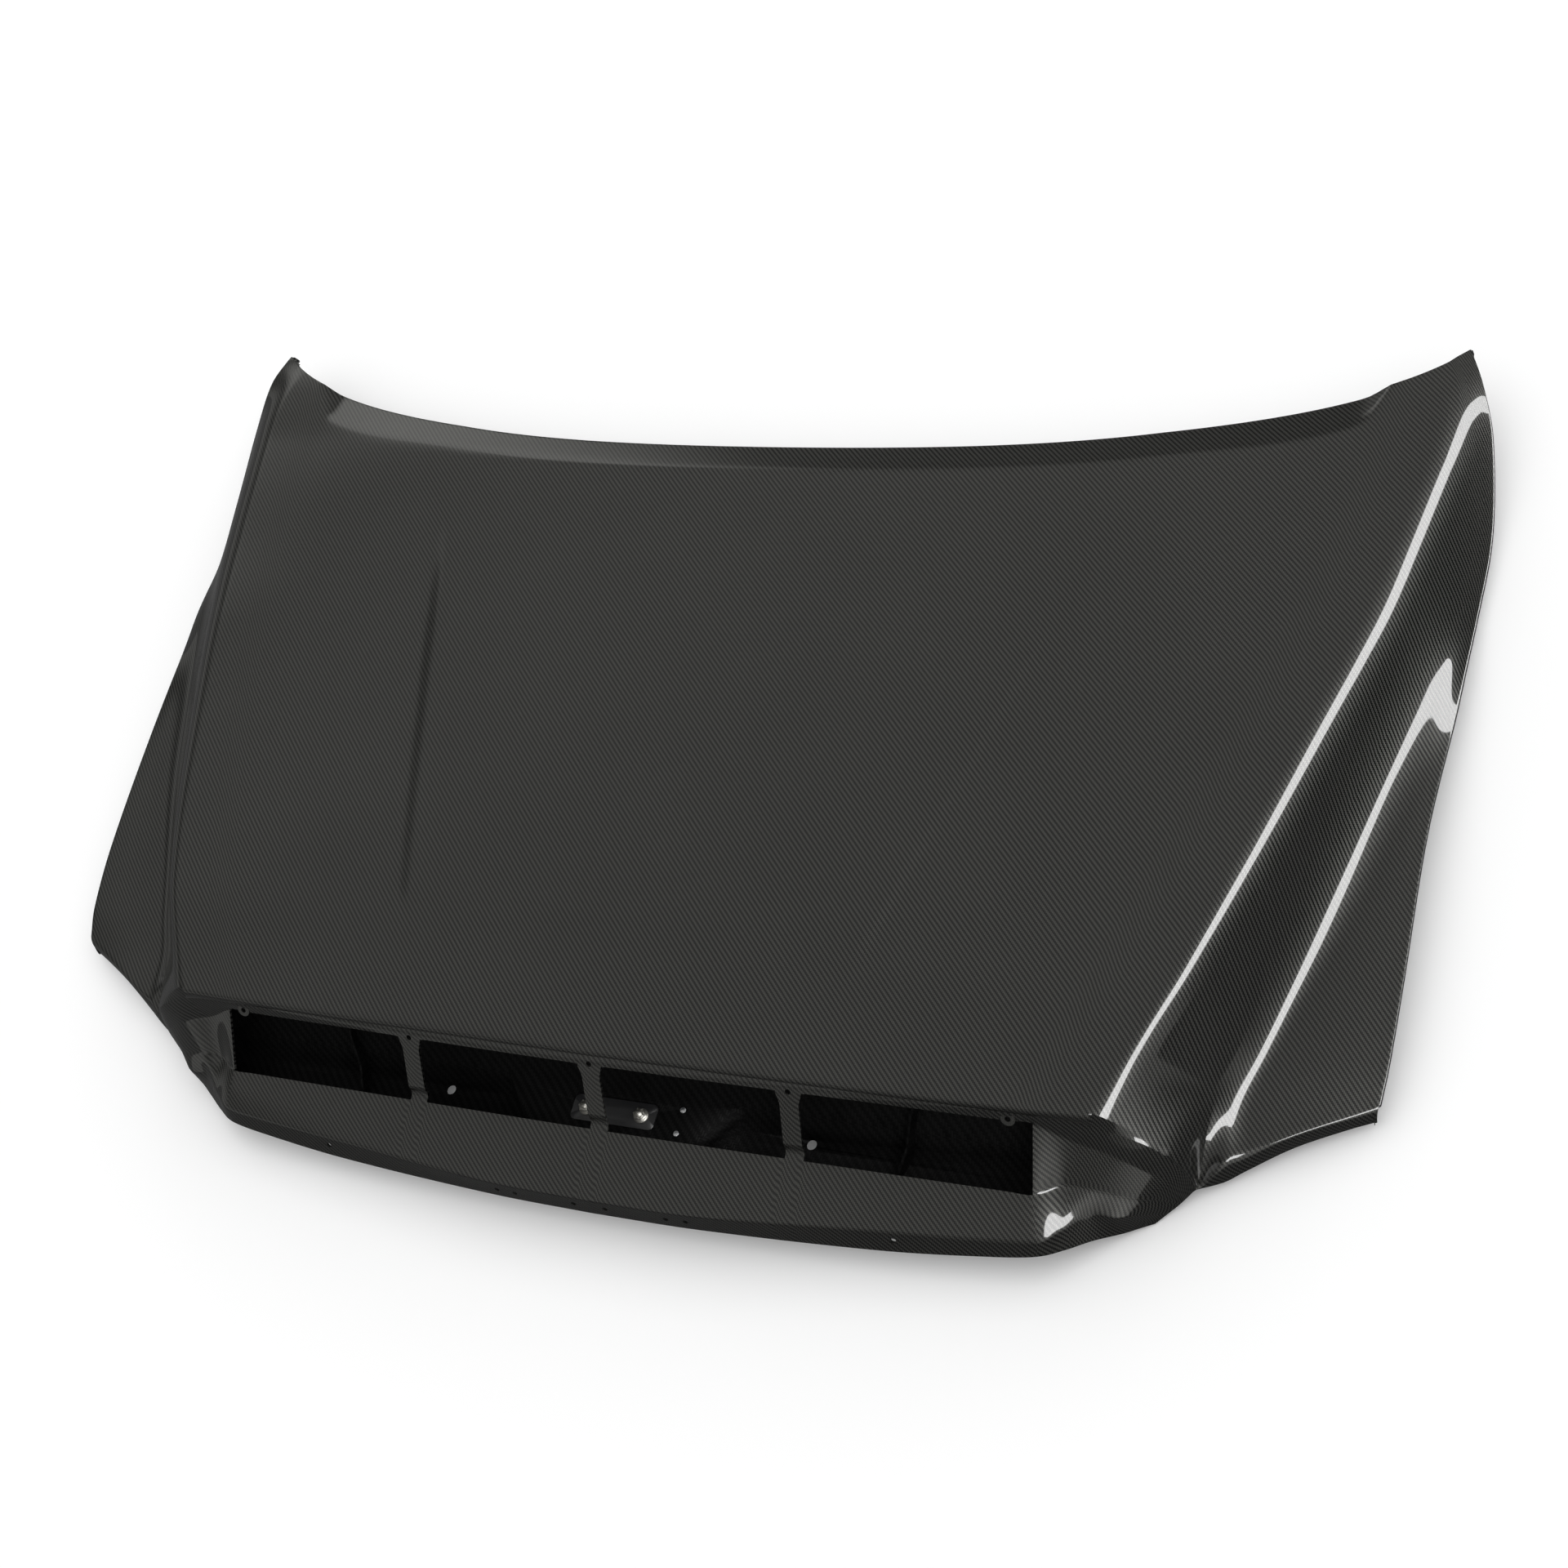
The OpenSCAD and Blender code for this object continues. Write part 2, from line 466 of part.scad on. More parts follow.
// ---- strip bonded behind the seam between the skin and the nose ----
strip_t = 1.5;
function strip_point(k, v) =
    let (p = along(nose_lines[0], k), q = along(nose_lines[1], k),
         down = unit([0, q[2] - p[2], q[3] - p[3]]), out = [0, down[2], -down[1]])
    [p[1], p[2], p[3]] - v * down - (skin_t + 1) * out;
strip_grid = mirrored([for (t = [0, 0.2, 0.4, 0.6, 0.8, 0.91])
    [for (v = [-5, -2, 1, 4]) strip_point(t * opening_end, v)]]);
module seam_strip() color(laminate) resting() sheet(strip_grid, inset(strip_grid, strip_t));

// ---- inner frame ----
rail_inset = 9;
function under_z(x, y) = top_z(abs(x), y) - 1.05 * skin_t;
function frame_edge(y) = [ridge(y)[1] - rail_inset, y];
front_y = 24;
outline_half = concat(
    [[0, front_y], [0.53 * ridge_front_half, front_y]],
    [[ridge_front_half - 50, front_y + 2], [ridge_front_half - 12, front_y + 12]],
    [for (y = [70, 143, 290, 433, 560, 680, 790, 860]) frame_edge(y)],
    [[corner_half - 34, 884], [corner_half - 60, 892]],
    [for (x = [700, 640, 560, 460, 350, 230, 110, 0]) [x, rear_y(x) - 24]]);
outline = concat(outline_half,
    [for (i = [len(outline_half) - 2:-1:1]) [-outline_half[i][0], outline_half[i][1]]]);
window_y = front_y + front_beam;
leg_x = 72;
leg_lean = 0.6;
leg_half = brace_w / 2 * sqrt(1 + leg_lean * leg_lean);
function leg_at(y) = leg_x + (y - 120) * leg_lean;
function window_end(x) = rear_y(x) - 24 - rear_beam;
function rail_x(y) = ridge(y)[1] - side_rail - rail_inset;
rail_bulge = 5;
centre_window = let (a = leg_at(window_y) - leg_half, b = leg_at(680) - leg_half)
    [[-a, window_y], [a, window_y], [b, window_end(b) - 4], [-b, window_end(b) - 4]];
side_window = let (a = leg_at(window_y) + leg_half, b = leg_at(680) + leg_half)
    [[a, window_y], [rail_x(window_y), window_y],
     [mix(rail_x(window_y), rail_x(620), 0.54) + rail_bulge, mix(window_y, 620, 0.54)], [rail_x(620), 620],
     [rail_x(720) - 2, window_end(650) - 6], [b, window_end(b) - 4]];
function flipped(p) = [for (i = [len(p) - 1:-1:0]) [-p[i][0], p[i][1]]];
windows = [centre_window, side_window, flipped(side_window)];

sheet_top = -frame_drop + frame_t;
function wall_top(p) = max(sheet_top + 1.5, under_z(p[0], p[1]) - bond_gap);
function at_level(p, z) = [for (q = p) [q[0], q[1], z]];
function at_top(p, dz) = [for (q = p) [q[0], q[1], wall_top(q) + dz]];

// walls stand in the sheet, just inside its edges
root_z = -frame_drop + 0.8;
edge_step = 0.3;
module window_rim(w) {
    near = rounded(w, window_r, edge_step);
    far = rounded(w, window_r, edge_step + frame_t);
    lip = rounded(w, window_r, -bond_flange);
    band_ring([at_level(near, root_z), at_level(far, root_z), at_top(far, 0), at_top(lip, 0),
        at_top(lip, -frame_t), at_top(near, -frame_t)]);
}
module outer_rim() {
    near = grown(outline, -edge_step - frame_t);
    far = grown(outline, -edge_step);
    lip = grown(outline, -6);
    band_ring([at_level(near, root_z), at_level(far, root_z), at_top(far, 0), at_top(lip, 0),
        at_top(lip, -1), at_top(near, -1.2)]);
}
lightening_holes = [for (s = [-1, 1]) for (x = [200, 320, 440]) [s * x, front_y + front_beam / 2 + 12]];
hinge_x = ridge(hinge_y)[1] - hinge_inset;
nut_holes = [for (s = [-1, 1]) for (d = [-1, 1]) [s * hinge_x, hinge_y + d * hinge_pitch / 2]];
rivet_holes = [for (s = [-1, 1]) for (d = [-1, 1]) [s * (hinge_x - 18), hinge_y + d * 50]];
rivet_d = 4.8;
rivet_hole_d = rivet_d + 0.4;

module frame_body() {
    difference() {
        translate([0, 0, -frame_drop]) linear_extrude(frame_t) difference() {
            polygon(outline);
            for (w = windows) polygon(rounded(w, window_r));
        }
        for (p = lightening_holes) translate([p[0], p[1], -frame_drop])
            cylinder(d = lightening_d, h = 12, center = true);
        for (p = nut_holes) translate([p[0], p[1], -frame_drop])
            cylinder(d = nut_af + 5, h = 12, center = true);
        for (p = rivet_holes) translate([p[0], p[1], -frame_drop])
            cylinder(d = rivet_hole_d, h = 12, center = true);
    }
    for (w = windows) window_rim(w);
    outer_rim();
}

// the frame is one moulding too, held as six nodes: two beams, two rails and two braces
beam_cut = window_y + 8;
rear_side = concat([for (x = [-840:60:840]) [x, window_end(x) - 12]], [[840, 1000], [-840, 1000]]);
function beside_leg(y) = [leg_at(y) + leg_half + 20, y];
module frame_part(side = 1) color(laminate) resting() intersection() {
    frame_body();
    scale([side, 1, 1]) translate([0, 0, -40]) linear_extrude(100) difference() {
        children(0);
        if ($children > 1) children(1);
    }
}
module rear_region() polygon(rear_side);
module inner_frame_front() frame_part() translate([-900, -100]) square([1800, 100 + beam_cut]);
module inner_frame_rear() frame_part() rear_region();
module frame_brace(side) frame_part(side) {
    polygon([[0, beam_cut], beside_leg(beam_cut), beside_leg(900), [0, 900]]);
    rear_region();
}
module frame_rail(side) frame_part(side) {
    polygon([beside_leg(beam_cut), [900, beam_cut], [900, 900], beside_leg(900)]);
    rear_region();
}
module frame_brace_left() frame_brace(-1);
module frame_brace_right() frame_brace(1);
module frame_rail_left() frame_rail(-1);
module frame_rail_right() frame_rail(1);

bead_inset = 3;
bead_clear = 1.3;
module bead_over(a, b) band_ring([
    at_top(a, lay_gap), at_top(b, lay_gap), at_top(b, bond_gap - bead_clear), at_top(a, bond_gap - bead_clear)]);
module frame_bond_beads() color(adhesive) resting()
    for (w = windows)
        bead_over(rounded(w, window_r, bead_inset - bond_flange), rounded(w, window_r, -bead_inset));

// ---- inner nose panel: flange under the frame, sloping wall, floor, upstand behind the lip ----
floor_z = -floor_drop;
wall_foot_y = -36;
floor_rise = 7;
latch_y = -latch_reach;
flange_top = -frame_drop - lay_gap;
lip_backs = concat([for (r = [[0, 8], [0.26, 10], [0.65, 27], [0.93, 41]]) [r[0] * opening_end, r[1] - lip_reach]],
    [for (r = [[-55, -102], [-30, -78], [-14, -58]]) r + [ridge_front_half, 0]]);
function lip_back(x) = along(lip_backs, x)[1];
pad_half = 122;
pad_lean = 0.75;
floor_cols = [0, 35, 75, pad_half - 14, pad_half - 7, pad_half,
    for (t = [0.11, 0.23, 0.36, 0.51, 0.64, 0.77, 0.87, 0.93, 0.975, 1]) mix(pad_half, ridge_front_half - 14, t)];
// the columns beside the pad lean outward with its slanted sides
function floor_x(x, y) = x + pad_lean * (min(-18, max(-112, y)) + 70)
    * smooth(0, pad_half - 14, x) * (1 - smooth(pad_half, 400, x));
function pad_share(x, y) = (1 - smooth(pad_half - 14, pad_half, x)) * smooth(-116, -98, y);
function floor_level(x, y, v, wall_z) =
    max(wall_z, floor_z + mix(floor_rise * clamp((wall_foot_y - v) / 110), pad_rise, pad_share(x, y)));
front_z = floor_z + floor_rise;
function floor_column(x) = let (e = lip_back(x)) concat(
    [[x, e, front_z + 12], [x, e + 1, front_z + 2], [x, e + 4, front_z]],
    [for (y = [-116, -98, -80, -66, -48])
        let (v = max(y, mix(e + 5, wall_foot_y, (y + 150) / 180)))
        [floor_x(x, v), v, floor_level(x, y, v, floor_z)]],
    [for (w = [[wall_foot_y, floor_z], [wall_foot_y + 12, floor_z + 17], [wall_foot_y + 18, floor_z + 25]])
        [floor_x(x, w[0]), w[0], floor_level(x, w[0], w[0], w[1])]],
    [[x, 6, flange_top - 54], [x, 54, flange_top - 5], [x, 60, flange_top], [x, 92, flange_top]]);
floor_grid = mirrored([for (x = floor_cols) floor_column(x)]);
drain_holes = [[drain_x, -41], [-drain_x, -41]];
bolt_holes = [for (s = [-1, 1]) [s * striker_pitch / 2, latch_y]];
catch_holes = [for (d = [-1, 1]) [catch_x, latch_y + 14 * d]];
shank_d = 8;
shank_hole_d = 8.6;
pad_top = floor_z + pad_rise;
pad_under = pad_top - frame_t - lay_gap;

module inner_nose_panel() color(laminate) resting() difference() {
    sheet(floor_grid, inset(floor_grid, frame_t));
    for (p = drain_holes) translate([p[0], p[1], floor_z]) cylinder(d = drain_d, h = 20, center = true);
    for (p = bolt_holes) translate([p[0], p[1], pad_top]) cylinder(d = shank_hole_d, h = 20, center = true);
    for (p = catch_holes) translate([p[0], p[1], pad_top]) cylinder(d = rivet_hole_d, h = 20, center = true);
}

bead_cols = [for (t = [0, 0.12, 0.27, 0.41, 0.55, 0.69, 0.82, 0.92, 1]) t * (ridge_front_half - 80)];
function bead_line(d) = mirrored([for (x = bead_cols) [for (z = [front_z + 5.5, front_z + 11.5])
    [x, lip_back(x) - frame_t - d, z]]]);
module nose_bond_bead() color(adhesive) resting() sheet(bead_line(3.8), bead_line(0.8));

// ribs in the corner between the nose floor and the sloping wall
rib_t = 3;
rib_turn = -15;
rib_out = 18;
module nose_rib(side) color(laminate) resting() scale([side, 1, 1])
    translate([rib_x + rib_out, 0, 0]) rotate([0, 0, rib_turn]) rotate([90, 0, 90]) linear_extrude(rib_t)
        polygon([[-86, floor_z + 3.2], [-38.2, floor_z + 0.3], [-25.8, floor_z + 17.3], [5, floor_z + 52],
            [1, floor_z + 58], [-10, floor_z + 54], [-38, floor_z + 22]]);
module nose_rib_left() nose_rib(-1);
module nose_rib_right() nose_rib(1);

// ---- hinge reinforcements ----
plate_w = 62;
plate_l = 122;
module rounded_plate(w, l, r, t) linear_extrude(t) hull()
    for (a = [-1, 1]) for (b = [-1, 1]) translate([a * (w / 2 - r), b * (l / 2 - r)]) circle(r);
module hinge_plate(side) color(steel) resting() difference() {
    translate([side * hinge_x, hinge_y, flange_top - plate_t]) rounded_plate(plate_w, plate_l, 10, plate_t);
    for (p = nut_holes) translate([p[0], p[1], flange_top]) cylinder(d = nut_bore_d, h = 20, center = true);
    for (p = rivet_holes) translate([p[0], p[1], flange_top]) cylinder(d = rivet_d, h = 20, center = true);
}
module hinge_plate_left() hinge_plate(-1);
module hinge_plate_right() hinge_plate(1);
module hinge_weld_nuts() color(zinc) resting() for (p = nut_holes) translate([p[0], p[1], flange_top])
    difference() {
        cylinder(d = nut_af / cos(30), h = nut_h, $fn = 6);
        translate([0, 0, -1]) cylinder(d = nut_bore_d, h = nut_h + 2);
    }
// blind rivet: its head below the face at 0, its formed tail above the grip
module rivet(grip) rotate_extrude($fn = 24) polygon([
    [0, -1.3], [3, -1.3], [4.4, -0.5], [4.4, 0], [rivet_d / 2, 0], [rivet_d / 2, grip],
    [rivet_d / 2 + 0.8, grip + 0.3], [rivet_d / 2 + 0.8, grip + 2], [0, grip + 2.6]]);
module hinge_rivets() color(zinc) resting()
    for (p = rivet_holes) translate([p[0], p[1], flange_top - plate_t])
        rivet(plate_t + lay_gap + frame_t + lay_gap);

// ---- striker ----
doubler_t = 2;
base_t = 4;
base_top = pad_under;
base_foot = base_top - base_t;
module latch_plate() color(steel) resting() difference() {
    translate([0, latch_y, pad_top + lay_gap]) rounded_plate(striker_pitch + 36, 30, 6, doubler_t);
    for (p = bolt_holes) translate([p[0], p[1], pad_top]) cylinder(d = shank_hole_d, h = 20, center = true);
}
module striker_base() color(steel) resting() difference() {
    translate([0, latch_y, base_foot]) rounded_plate(striker_pitch + 26, 30, 6, base_t);
    for (p = bolt_holes) translate([p[0], p[1], base_foot]) cylinder(d = shank_hole_d, h = 20, center = true);
}
bend_r = 9;
leg_x0 = striker_span / 2;
module striker_loop() color(zinc) resting() translate([0, latch_y, base_foot - lay_gap / 2]) {
    $fn = 24;
    for (s = [-1, 1]) translate([s * leg_x0, 0, -(striker_drop - bend_r)])
        cylinder(d = striker_d, h = striker_drop - bend_r);
    for (s = [-1, 1]) translate([s * (leg_x0 - bend_r), 0, -(striker_drop - bend_r)])
        rotate([90, 0, 0]) rotate([0, 0, s > 0 ? -90 : 180]) rotate_extrude(angle = 90)
            translate([bend_r, 0]) circle(d = striker_d);
    translate([0, 0, -striker_drop]) rotate([0, 90, 0])
        cylinder(d = striker_d, h = striker_span - 2 * bend_r, center = true);
}
bolt_af = 13;
module striker_bolts() color(zinc) resting() for (p = bolt_holes) translate([p[0], p[1], base_foot]) {
    translate([0, 0, -1.6]) cylinder(d = 17, h = 1.5);
    translate([0, 0, -7]) cylinder(d = bolt_af / cos(30), h = 5.5, $fn = 6);
    translate([0, 0, -1.5]) cylinder(d = shank_d, h = base_t + frame_t + doubler_t + 12);
}
stack_top = pad_top + doubler_t + 2 * lay_gap;
module striker_nuts() color(zinc) resting() for (p = bolt_holes) translate([p[0], p[1], stack_top])
    difference() {
        union() {
            cylinder(d = 17.5, h = 1.5);
            cylinder(d = bolt_af / cos(30), h = 7.5, $fn = 6);
        }
        translate([0, 0, -1]) cylinder(d = shank_d + 0.05, h = 10);
    }

// ---- safety catch ----
cheek_t = 2.5;
cheek_gap = 20;
pin_z = base_top - 17;
hub_d = 17;
hub_l = 8;
arm_t = 5;
cheek_in = cheek_gap / 2;
module catch_bracket() color(steel) resting() translate([catch_x, latch_y, 0]) difference() {
    union() {
        translate([0, 0, base_top - cheek_t]) rounded_plate(cheek_gap + 2 * cheek_t, 44, 2, cheek_t);
        for (s = [-1, 1]) translate([s * (cheek_in + cheek_t / 2), 0, 0]) rotate([90, 0, 90])
            linear_extrude(cheek_t, center = true) hull() {
                translate([-16, base_top - 2]) square([32, 1]);
                translate([0, pin_z]) circle(d = 16);
            }
    }
    translate([0, 0, pin_z]) rotate([0, 90, 0]) cylinder(d = pin_d, h = 60, center = true);
    for (d = [-1, 1]) translate([0, 14 * d, base_top]) cylinder(d = rivet_hole_d, h = 12, center = true);
}
module catch_rivets() color(zinc) resting() for (p = catch_holes)
    translate([p[0], p[1], base_top - cheek_t]) rivet(cheek_t + pad_top - base_top + lay_gap);
module catch_pin() color(zinc) resting() translate([catch_x, latch_y, pin_z]) rotate([0, 90, 0]) {
    cylinder(d = pin_d, h = cheek_gap + 2 * cheek_t + 4, center = true);
    for (s = [-1, 1]) translate([0, 0, s * (cheek_in + cheek_t + 1.2)])
        cylinder(d = pin_d + 4, h = 1.8, center = true);
}
hub_x = catch_x - cheek_in + 0.6;
pin_bore_d = pin_d + pin_fit;
hook_end = -129;
module catch_hook() color(zinc) resting() translate([hub_x, latch_y, pin_z]) rotate([90, 0, 90])
    difference() {
        union() {
            cylinder(d = hub_d, h = hub_l);
            linear_extrude(arm_t) polygon([
                [-7, 3], [7, 3], [7, -4], [5, hook_end + 9 - pin_z], [13, hook_end + 8 - pin_z],
                [14, hook_end + 5 - pin_z], [12, hook_end - pin_z], [-6, hook_end - pin_z], [-7, -6]]);
            linear_extrude(arm_t) polygon([[0, -5], [-6, 6], [-46, 0], [-48, -6], [-42, -7]]);
        }
        translate([0, 0, -1]) cylinder(d = pin_bore_d, h = hub_l + 2);
    }
spring_r = 6.3;
spring_from = hub_x + hub_l + 1.4;
coil_pitch = 2.1;
rings = 8 * coils;
// centre line: leg along the hook's arm, the coils, leg under the bracket
spring_path = [
    [spring_from - 3.1, latch_y + 5.2, pin_z - 24], [spring_from - 1.6, latch_y + 6.2, pin_z - 10],
    for (k = [0:rings]) let (a = k * 45 - 30)
        [spring_from + k / 8 * coil_pitch, latch_y + spring_r * cos(a), pin_z + spring_r * sin(a)],
    [spring_from + coils * coil_pitch + 0.1, latch_y + 13, base_top - cheek_t - 1.4],
    [spring_from + coils * coil_pitch - 0.5, latch_y + 17, base_top - cheek_t - 1.2]
];
function tube_ring(p, i) =
    let (d = unit(p[min(len(p) - 1, i + 1)] - p[max(0, i - 1)]), s = unit(cross(d, [1, 0.02, 0.01])),
         t = cross(d, s))
    [for (k = [0:5]) p[i] + wire_d / 2 * (cos(60 * k) * s + sin(60 * k) * t)];
module tube(p) {
    n = len(p);
    polyhedron([for (i = [0:n - 1]) each tube_ring(p, i)], concat(
        [for (i = [0:n - 2]) for (k = [0:5]) let (j = (k + 1) % 6)
            each quad(i * 6 + j, i * 6 + k, i * 6 + 6 + k, i * 6 + 6 + j)],
        [for (k = [1:4]) [0, k, k + 1]],
        [for (k = [1:4]) let (e = (n - 1) * 6) [e, e + k + 1, e + k]]), convexity = 8);
}
// least gap between turns, over pairs of points at least six rings apart
spring_gap = min([for (i = [0:len(spring_path) - 7]) for (j = [i + 6:len(spring_path) - 1])
    norm(spring_path[i] - spring_path[j])]) - wire_d;
echo(spring_gap = spring_gap);
module catch_spring() color(steel) resting() tube(spring_path);

outer_skin();
skin_rear_band();
skin_side_left();
skin_side_right();
nose_panel();
seam_strip();
inner_frame_front();
inner_frame_rear();
frame_rail_left();
frame_rail_right();
frame_brace_left();
frame_brace_right();
frame_bond_beads();
inner_nose_panel();
nose_bond_bead();
nose_rib_left();
nose_rib_right();
hinge_plate_left();
hinge_plate_right();
hinge_weld_nuts();
hinge_rivets();
latch_plate();
striker_base();
striker_loop();
striker_bolts();
striker_nuts();
catch_bracket();
catch_rivets();
catch_pin();
catch_hook();
catch_spring();
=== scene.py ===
# %% [markdown]
# # A carbon-fibre pickup bonnet
# The bonnet is a moulded shell. Its outer skin and its nose are drawn here again as fine, smooth
# sheets, because gloss shows every facet. The frame, plates, striker and catch come from the CAD
# model and only get finishes. Everything is in metres, in the CAD model's own frame.

import math

import bpy
import numpy as np
from mathutils import Euler, Matrix, Vector


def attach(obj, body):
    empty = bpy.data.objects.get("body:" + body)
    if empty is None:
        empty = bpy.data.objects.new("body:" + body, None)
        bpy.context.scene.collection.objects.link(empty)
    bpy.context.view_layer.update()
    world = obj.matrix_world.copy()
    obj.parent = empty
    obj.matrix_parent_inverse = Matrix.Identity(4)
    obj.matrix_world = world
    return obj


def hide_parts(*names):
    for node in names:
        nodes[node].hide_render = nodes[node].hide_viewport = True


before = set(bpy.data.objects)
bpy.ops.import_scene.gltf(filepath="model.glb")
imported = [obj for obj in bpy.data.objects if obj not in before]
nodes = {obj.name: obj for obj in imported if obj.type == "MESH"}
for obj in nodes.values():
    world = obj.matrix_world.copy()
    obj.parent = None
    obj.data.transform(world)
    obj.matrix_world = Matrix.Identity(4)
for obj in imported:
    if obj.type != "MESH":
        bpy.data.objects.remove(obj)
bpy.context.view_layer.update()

# %% [markdown]
# ## Where the bonnet lies
# The shell is easiest to draw level, in millimetres: x across, y from the nose to the windscreen
# and z up from the datum plane. It then lies down on the toes of its nose and on its side edges,
# which tips it back by a few degrees. `laid` does that to a whole array of points at once.

# %% Lay the bonnet down
REST_TILT = math.radians(4.12)
TOE = (0, -68.5, -137)
REST_SHIFT = (0, -468.94, 0.226)


def laid(points):
    p = np.asarray(points, float) - TOE
    c, s = math.cos(REST_TILT), math.sin(REST_TILT)
    turned = np.stack([p[..., 0], p[..., 1] * c + p[..., 2] * s, -p[..., 1] * s + p[..., 2] * c], -1)
    return (turned + REST_SHIFT) / 1000


print("a toe of the nose lies at z =", laid(TOE)[2].round(4), "m")

# %% [markdown]
# ## The camera
# The camera stands at the front right and well above, turned a little about its own axis. A wide
# bonnet seen through a short lens would flare at its near corner, so the lens is long and stands
# back. The bonnet then fills the picture from side to side.

# %% Camera
camera_data = bpy.data.cameras.new("camera")
camera_data.lens = 52.5
camera_data.sensor_width = 36
camera = bpy.data.objects.new("camera", camera_data)
bpy.context.scene.collection.objects.link(camera)
camera.location = (1.223846, -0.952616, 2.28813)
camera.rotation_euler = [math.radians(a) for a in (26.1086, 20.8454, 14.5034)]
bpy.context.scene.camera = camera
bpy.context.scene.view_settings.view_transform = "Standard"
print("camera at", [round(v, 3) for v in camera.location])

# %% [markdown]
# ## Shader maths as Python
# A material is a graph of nodes. Writing it as expressions keeps it readable: `Value` wraps one
# socket, each operator adds a Math node, and `make` adds any other node with its settings and inputs.


# %% Shader helper
class Value:
    def __init__(self, tree, socket):
        self.tree, self.socket = tree, socket

    def math(self, operation, *others):
        node = self.tree.nodes.new("ShaderNodeMath")
        node.operation = operation
        for i, v in enumerate((self, *others)):
            feed(self.tree, node.inputs[i], v)
        return Value(self.tree, node.outputs[0])

    def __add__(self, o): return self.math("ADD", o)
    def __radd__(self, o): return self.math("ADD", o)
    def __sub__(self, o): return self.math("SUBTRACT", o)
    def __rsub__(self, o): return (self * -1) + o
    def __mul__(self, o): return self.math("MULTIPLY", o)
    def __rmul__(self, o): return self.math("MULTIPLY", o)
    def __truediv__(self, o): return self.math("DIVIDE", o)
    def __gt__(self, o): return self.math("GREATER_THAN", o)
    def __lt__(self, o): return self.math("LESS_THAN", o)


def feed(tree, socket, value):
    if isinstance(value, Value):
        tree.links.new(value.socket, socket)
    else:
        socket.default_value = value


class Finish:
    def __init__(self, name):
        self.material = bpy.data.materials.new(name)
        self.material.use_nodes = True
        self.tree = self.material.node_tree
        self.tree.nodes.clear()

    def make(self, kind, settings=None, output=0, **inputs):
        node = self.tree.nodes.new("ShaderNode" + kind)
        for key, value in (settings or {}).items():
            setattr(node, key, value)
        for key, value in inputs.items():
            name = int(key[1:]) if key[0] == "_" and key[1:].isdigit() else key.replace("_", " ")
            feed(self.tree, node.inputs[name], value)
        return Value(self.tree, node.outputs[output])

    def parts(self, vector):
        node = self.tree.nodes.new("ShaderNodeSeparateXYZ")
        feed(self.tree, node.inputs[0], vector)
        return [Value(self.tree, s) for s in node.outputs]

    def blend(self, share, a, b):
        return self.make("Mix", {"data_type": "RGBA"}, 2, _0=share, _6=a, _7=b)

    def smooth_step(self, value, low, high):
        return self.make("MapRange", {"interpolation_type": "SMOOTHSTEP"},
                         Value=value, From_Min=low, From_Max=high)

    def noise(self, vector, scale, detail=2.0, roughness=0.5):
        return self.make("TexNoise", Vector=vector, Scale=scale, Detail=detail, Roughness=roughness)

    def surface(self, shader):
        out = self.tree.nodes.new("ShaderNodeOutputMaterial")
        feed(self.tree, out.inputs["Surface"], shader)
        return self.material


print("shader helper ready")

# %% [markdown]
# ## The studio
# A black glossy shell shows its shape through what it mirrors, so what the clear coat sees counts
# for more than how much light falls on it. The floor is pale and keeps the bonnet's soft shadow. A
# little emission, for the camera alone, lifts it to white. In reflections it is dark instead, so
# that the flanks stay black.

# %% Floor
PAPER, CAMERA_LIFT, MIRRORED_PAPER = 0.95, 0.08, 0.1
bpy.ops.mesh.primitive_plane_add(size=60, location=(0, 0, -0.0005))
floor = bpy.context.object
floor.name = "floor"
paper = Finish("white_paper")
lit = paper.make("BsdfDiffuse", Color=(PAPER, PAPER, PAPER, 1))
seen = paper.make("LightPath", output=0)
in_gloss = paper.make("LightPath", output=3)
lift = paper.make("Emission", Color=(1, 1, 1, 1), Strength=seen * CAMERA_LIFT)
dim = paper.make("BsdfDiffuse", Color=(MIRRORED_PAPER, MIRRORED_PAPER, MIRRORED_PAPER, 1))
white = paper.make("AddShader", _0=lit, _1=lift)
floor.data.materials.append(paper.surface(paper.make("MixShader", _0=in_gloss, _1=white, _2=dim)))
print("floor:", floor.name)

# %% [markdown]
# ## The surround
# One world gives three things, told apart by the kind of ray. The camera sees plain white. The
# clear coat sees a dim room, so that the cloth shows through its own reflection. And the light
# that falls on the bonnet is soft and comes mostly from above and behind.

# %% Surround
OVERHEAD, LOW_LOSS = 0.44, 0.36
FRONT_GLOW, FRONT_RIGHT_GLOW, LEFT_GLOW, WALL_GLOW = 0.14, 0.6, 0.2, 1.1
BLUE_SHARE = 0.96
FROM_ABOVE, FROM_BEHIND, ALL_ROUND = 0.8, 1.4, 0.18
world = bpy.data.worlds.new("studio")
bpy.context.scene.world = world
world.use_nodes = True
world.node_tree.nodes.clear()


class Surround(Finish):
    def __init__(self, world):
        self.tree = world.node_tree


sky = Surround(world)
paths = sky.tree.nodes.new("ShaderNodeLightPath")
direct = Value(sky.tree, paths.outputs["Is Camera Ray"])
through = Value(sky.tree, paths.outputs["Is Transmission Ray"])
glossy = Value(sky.tree, paths.outputs["Is Glossy Ray"])
direction = sky.make("TexCoord", output=0)
right, back, up = sky.parts(direction)
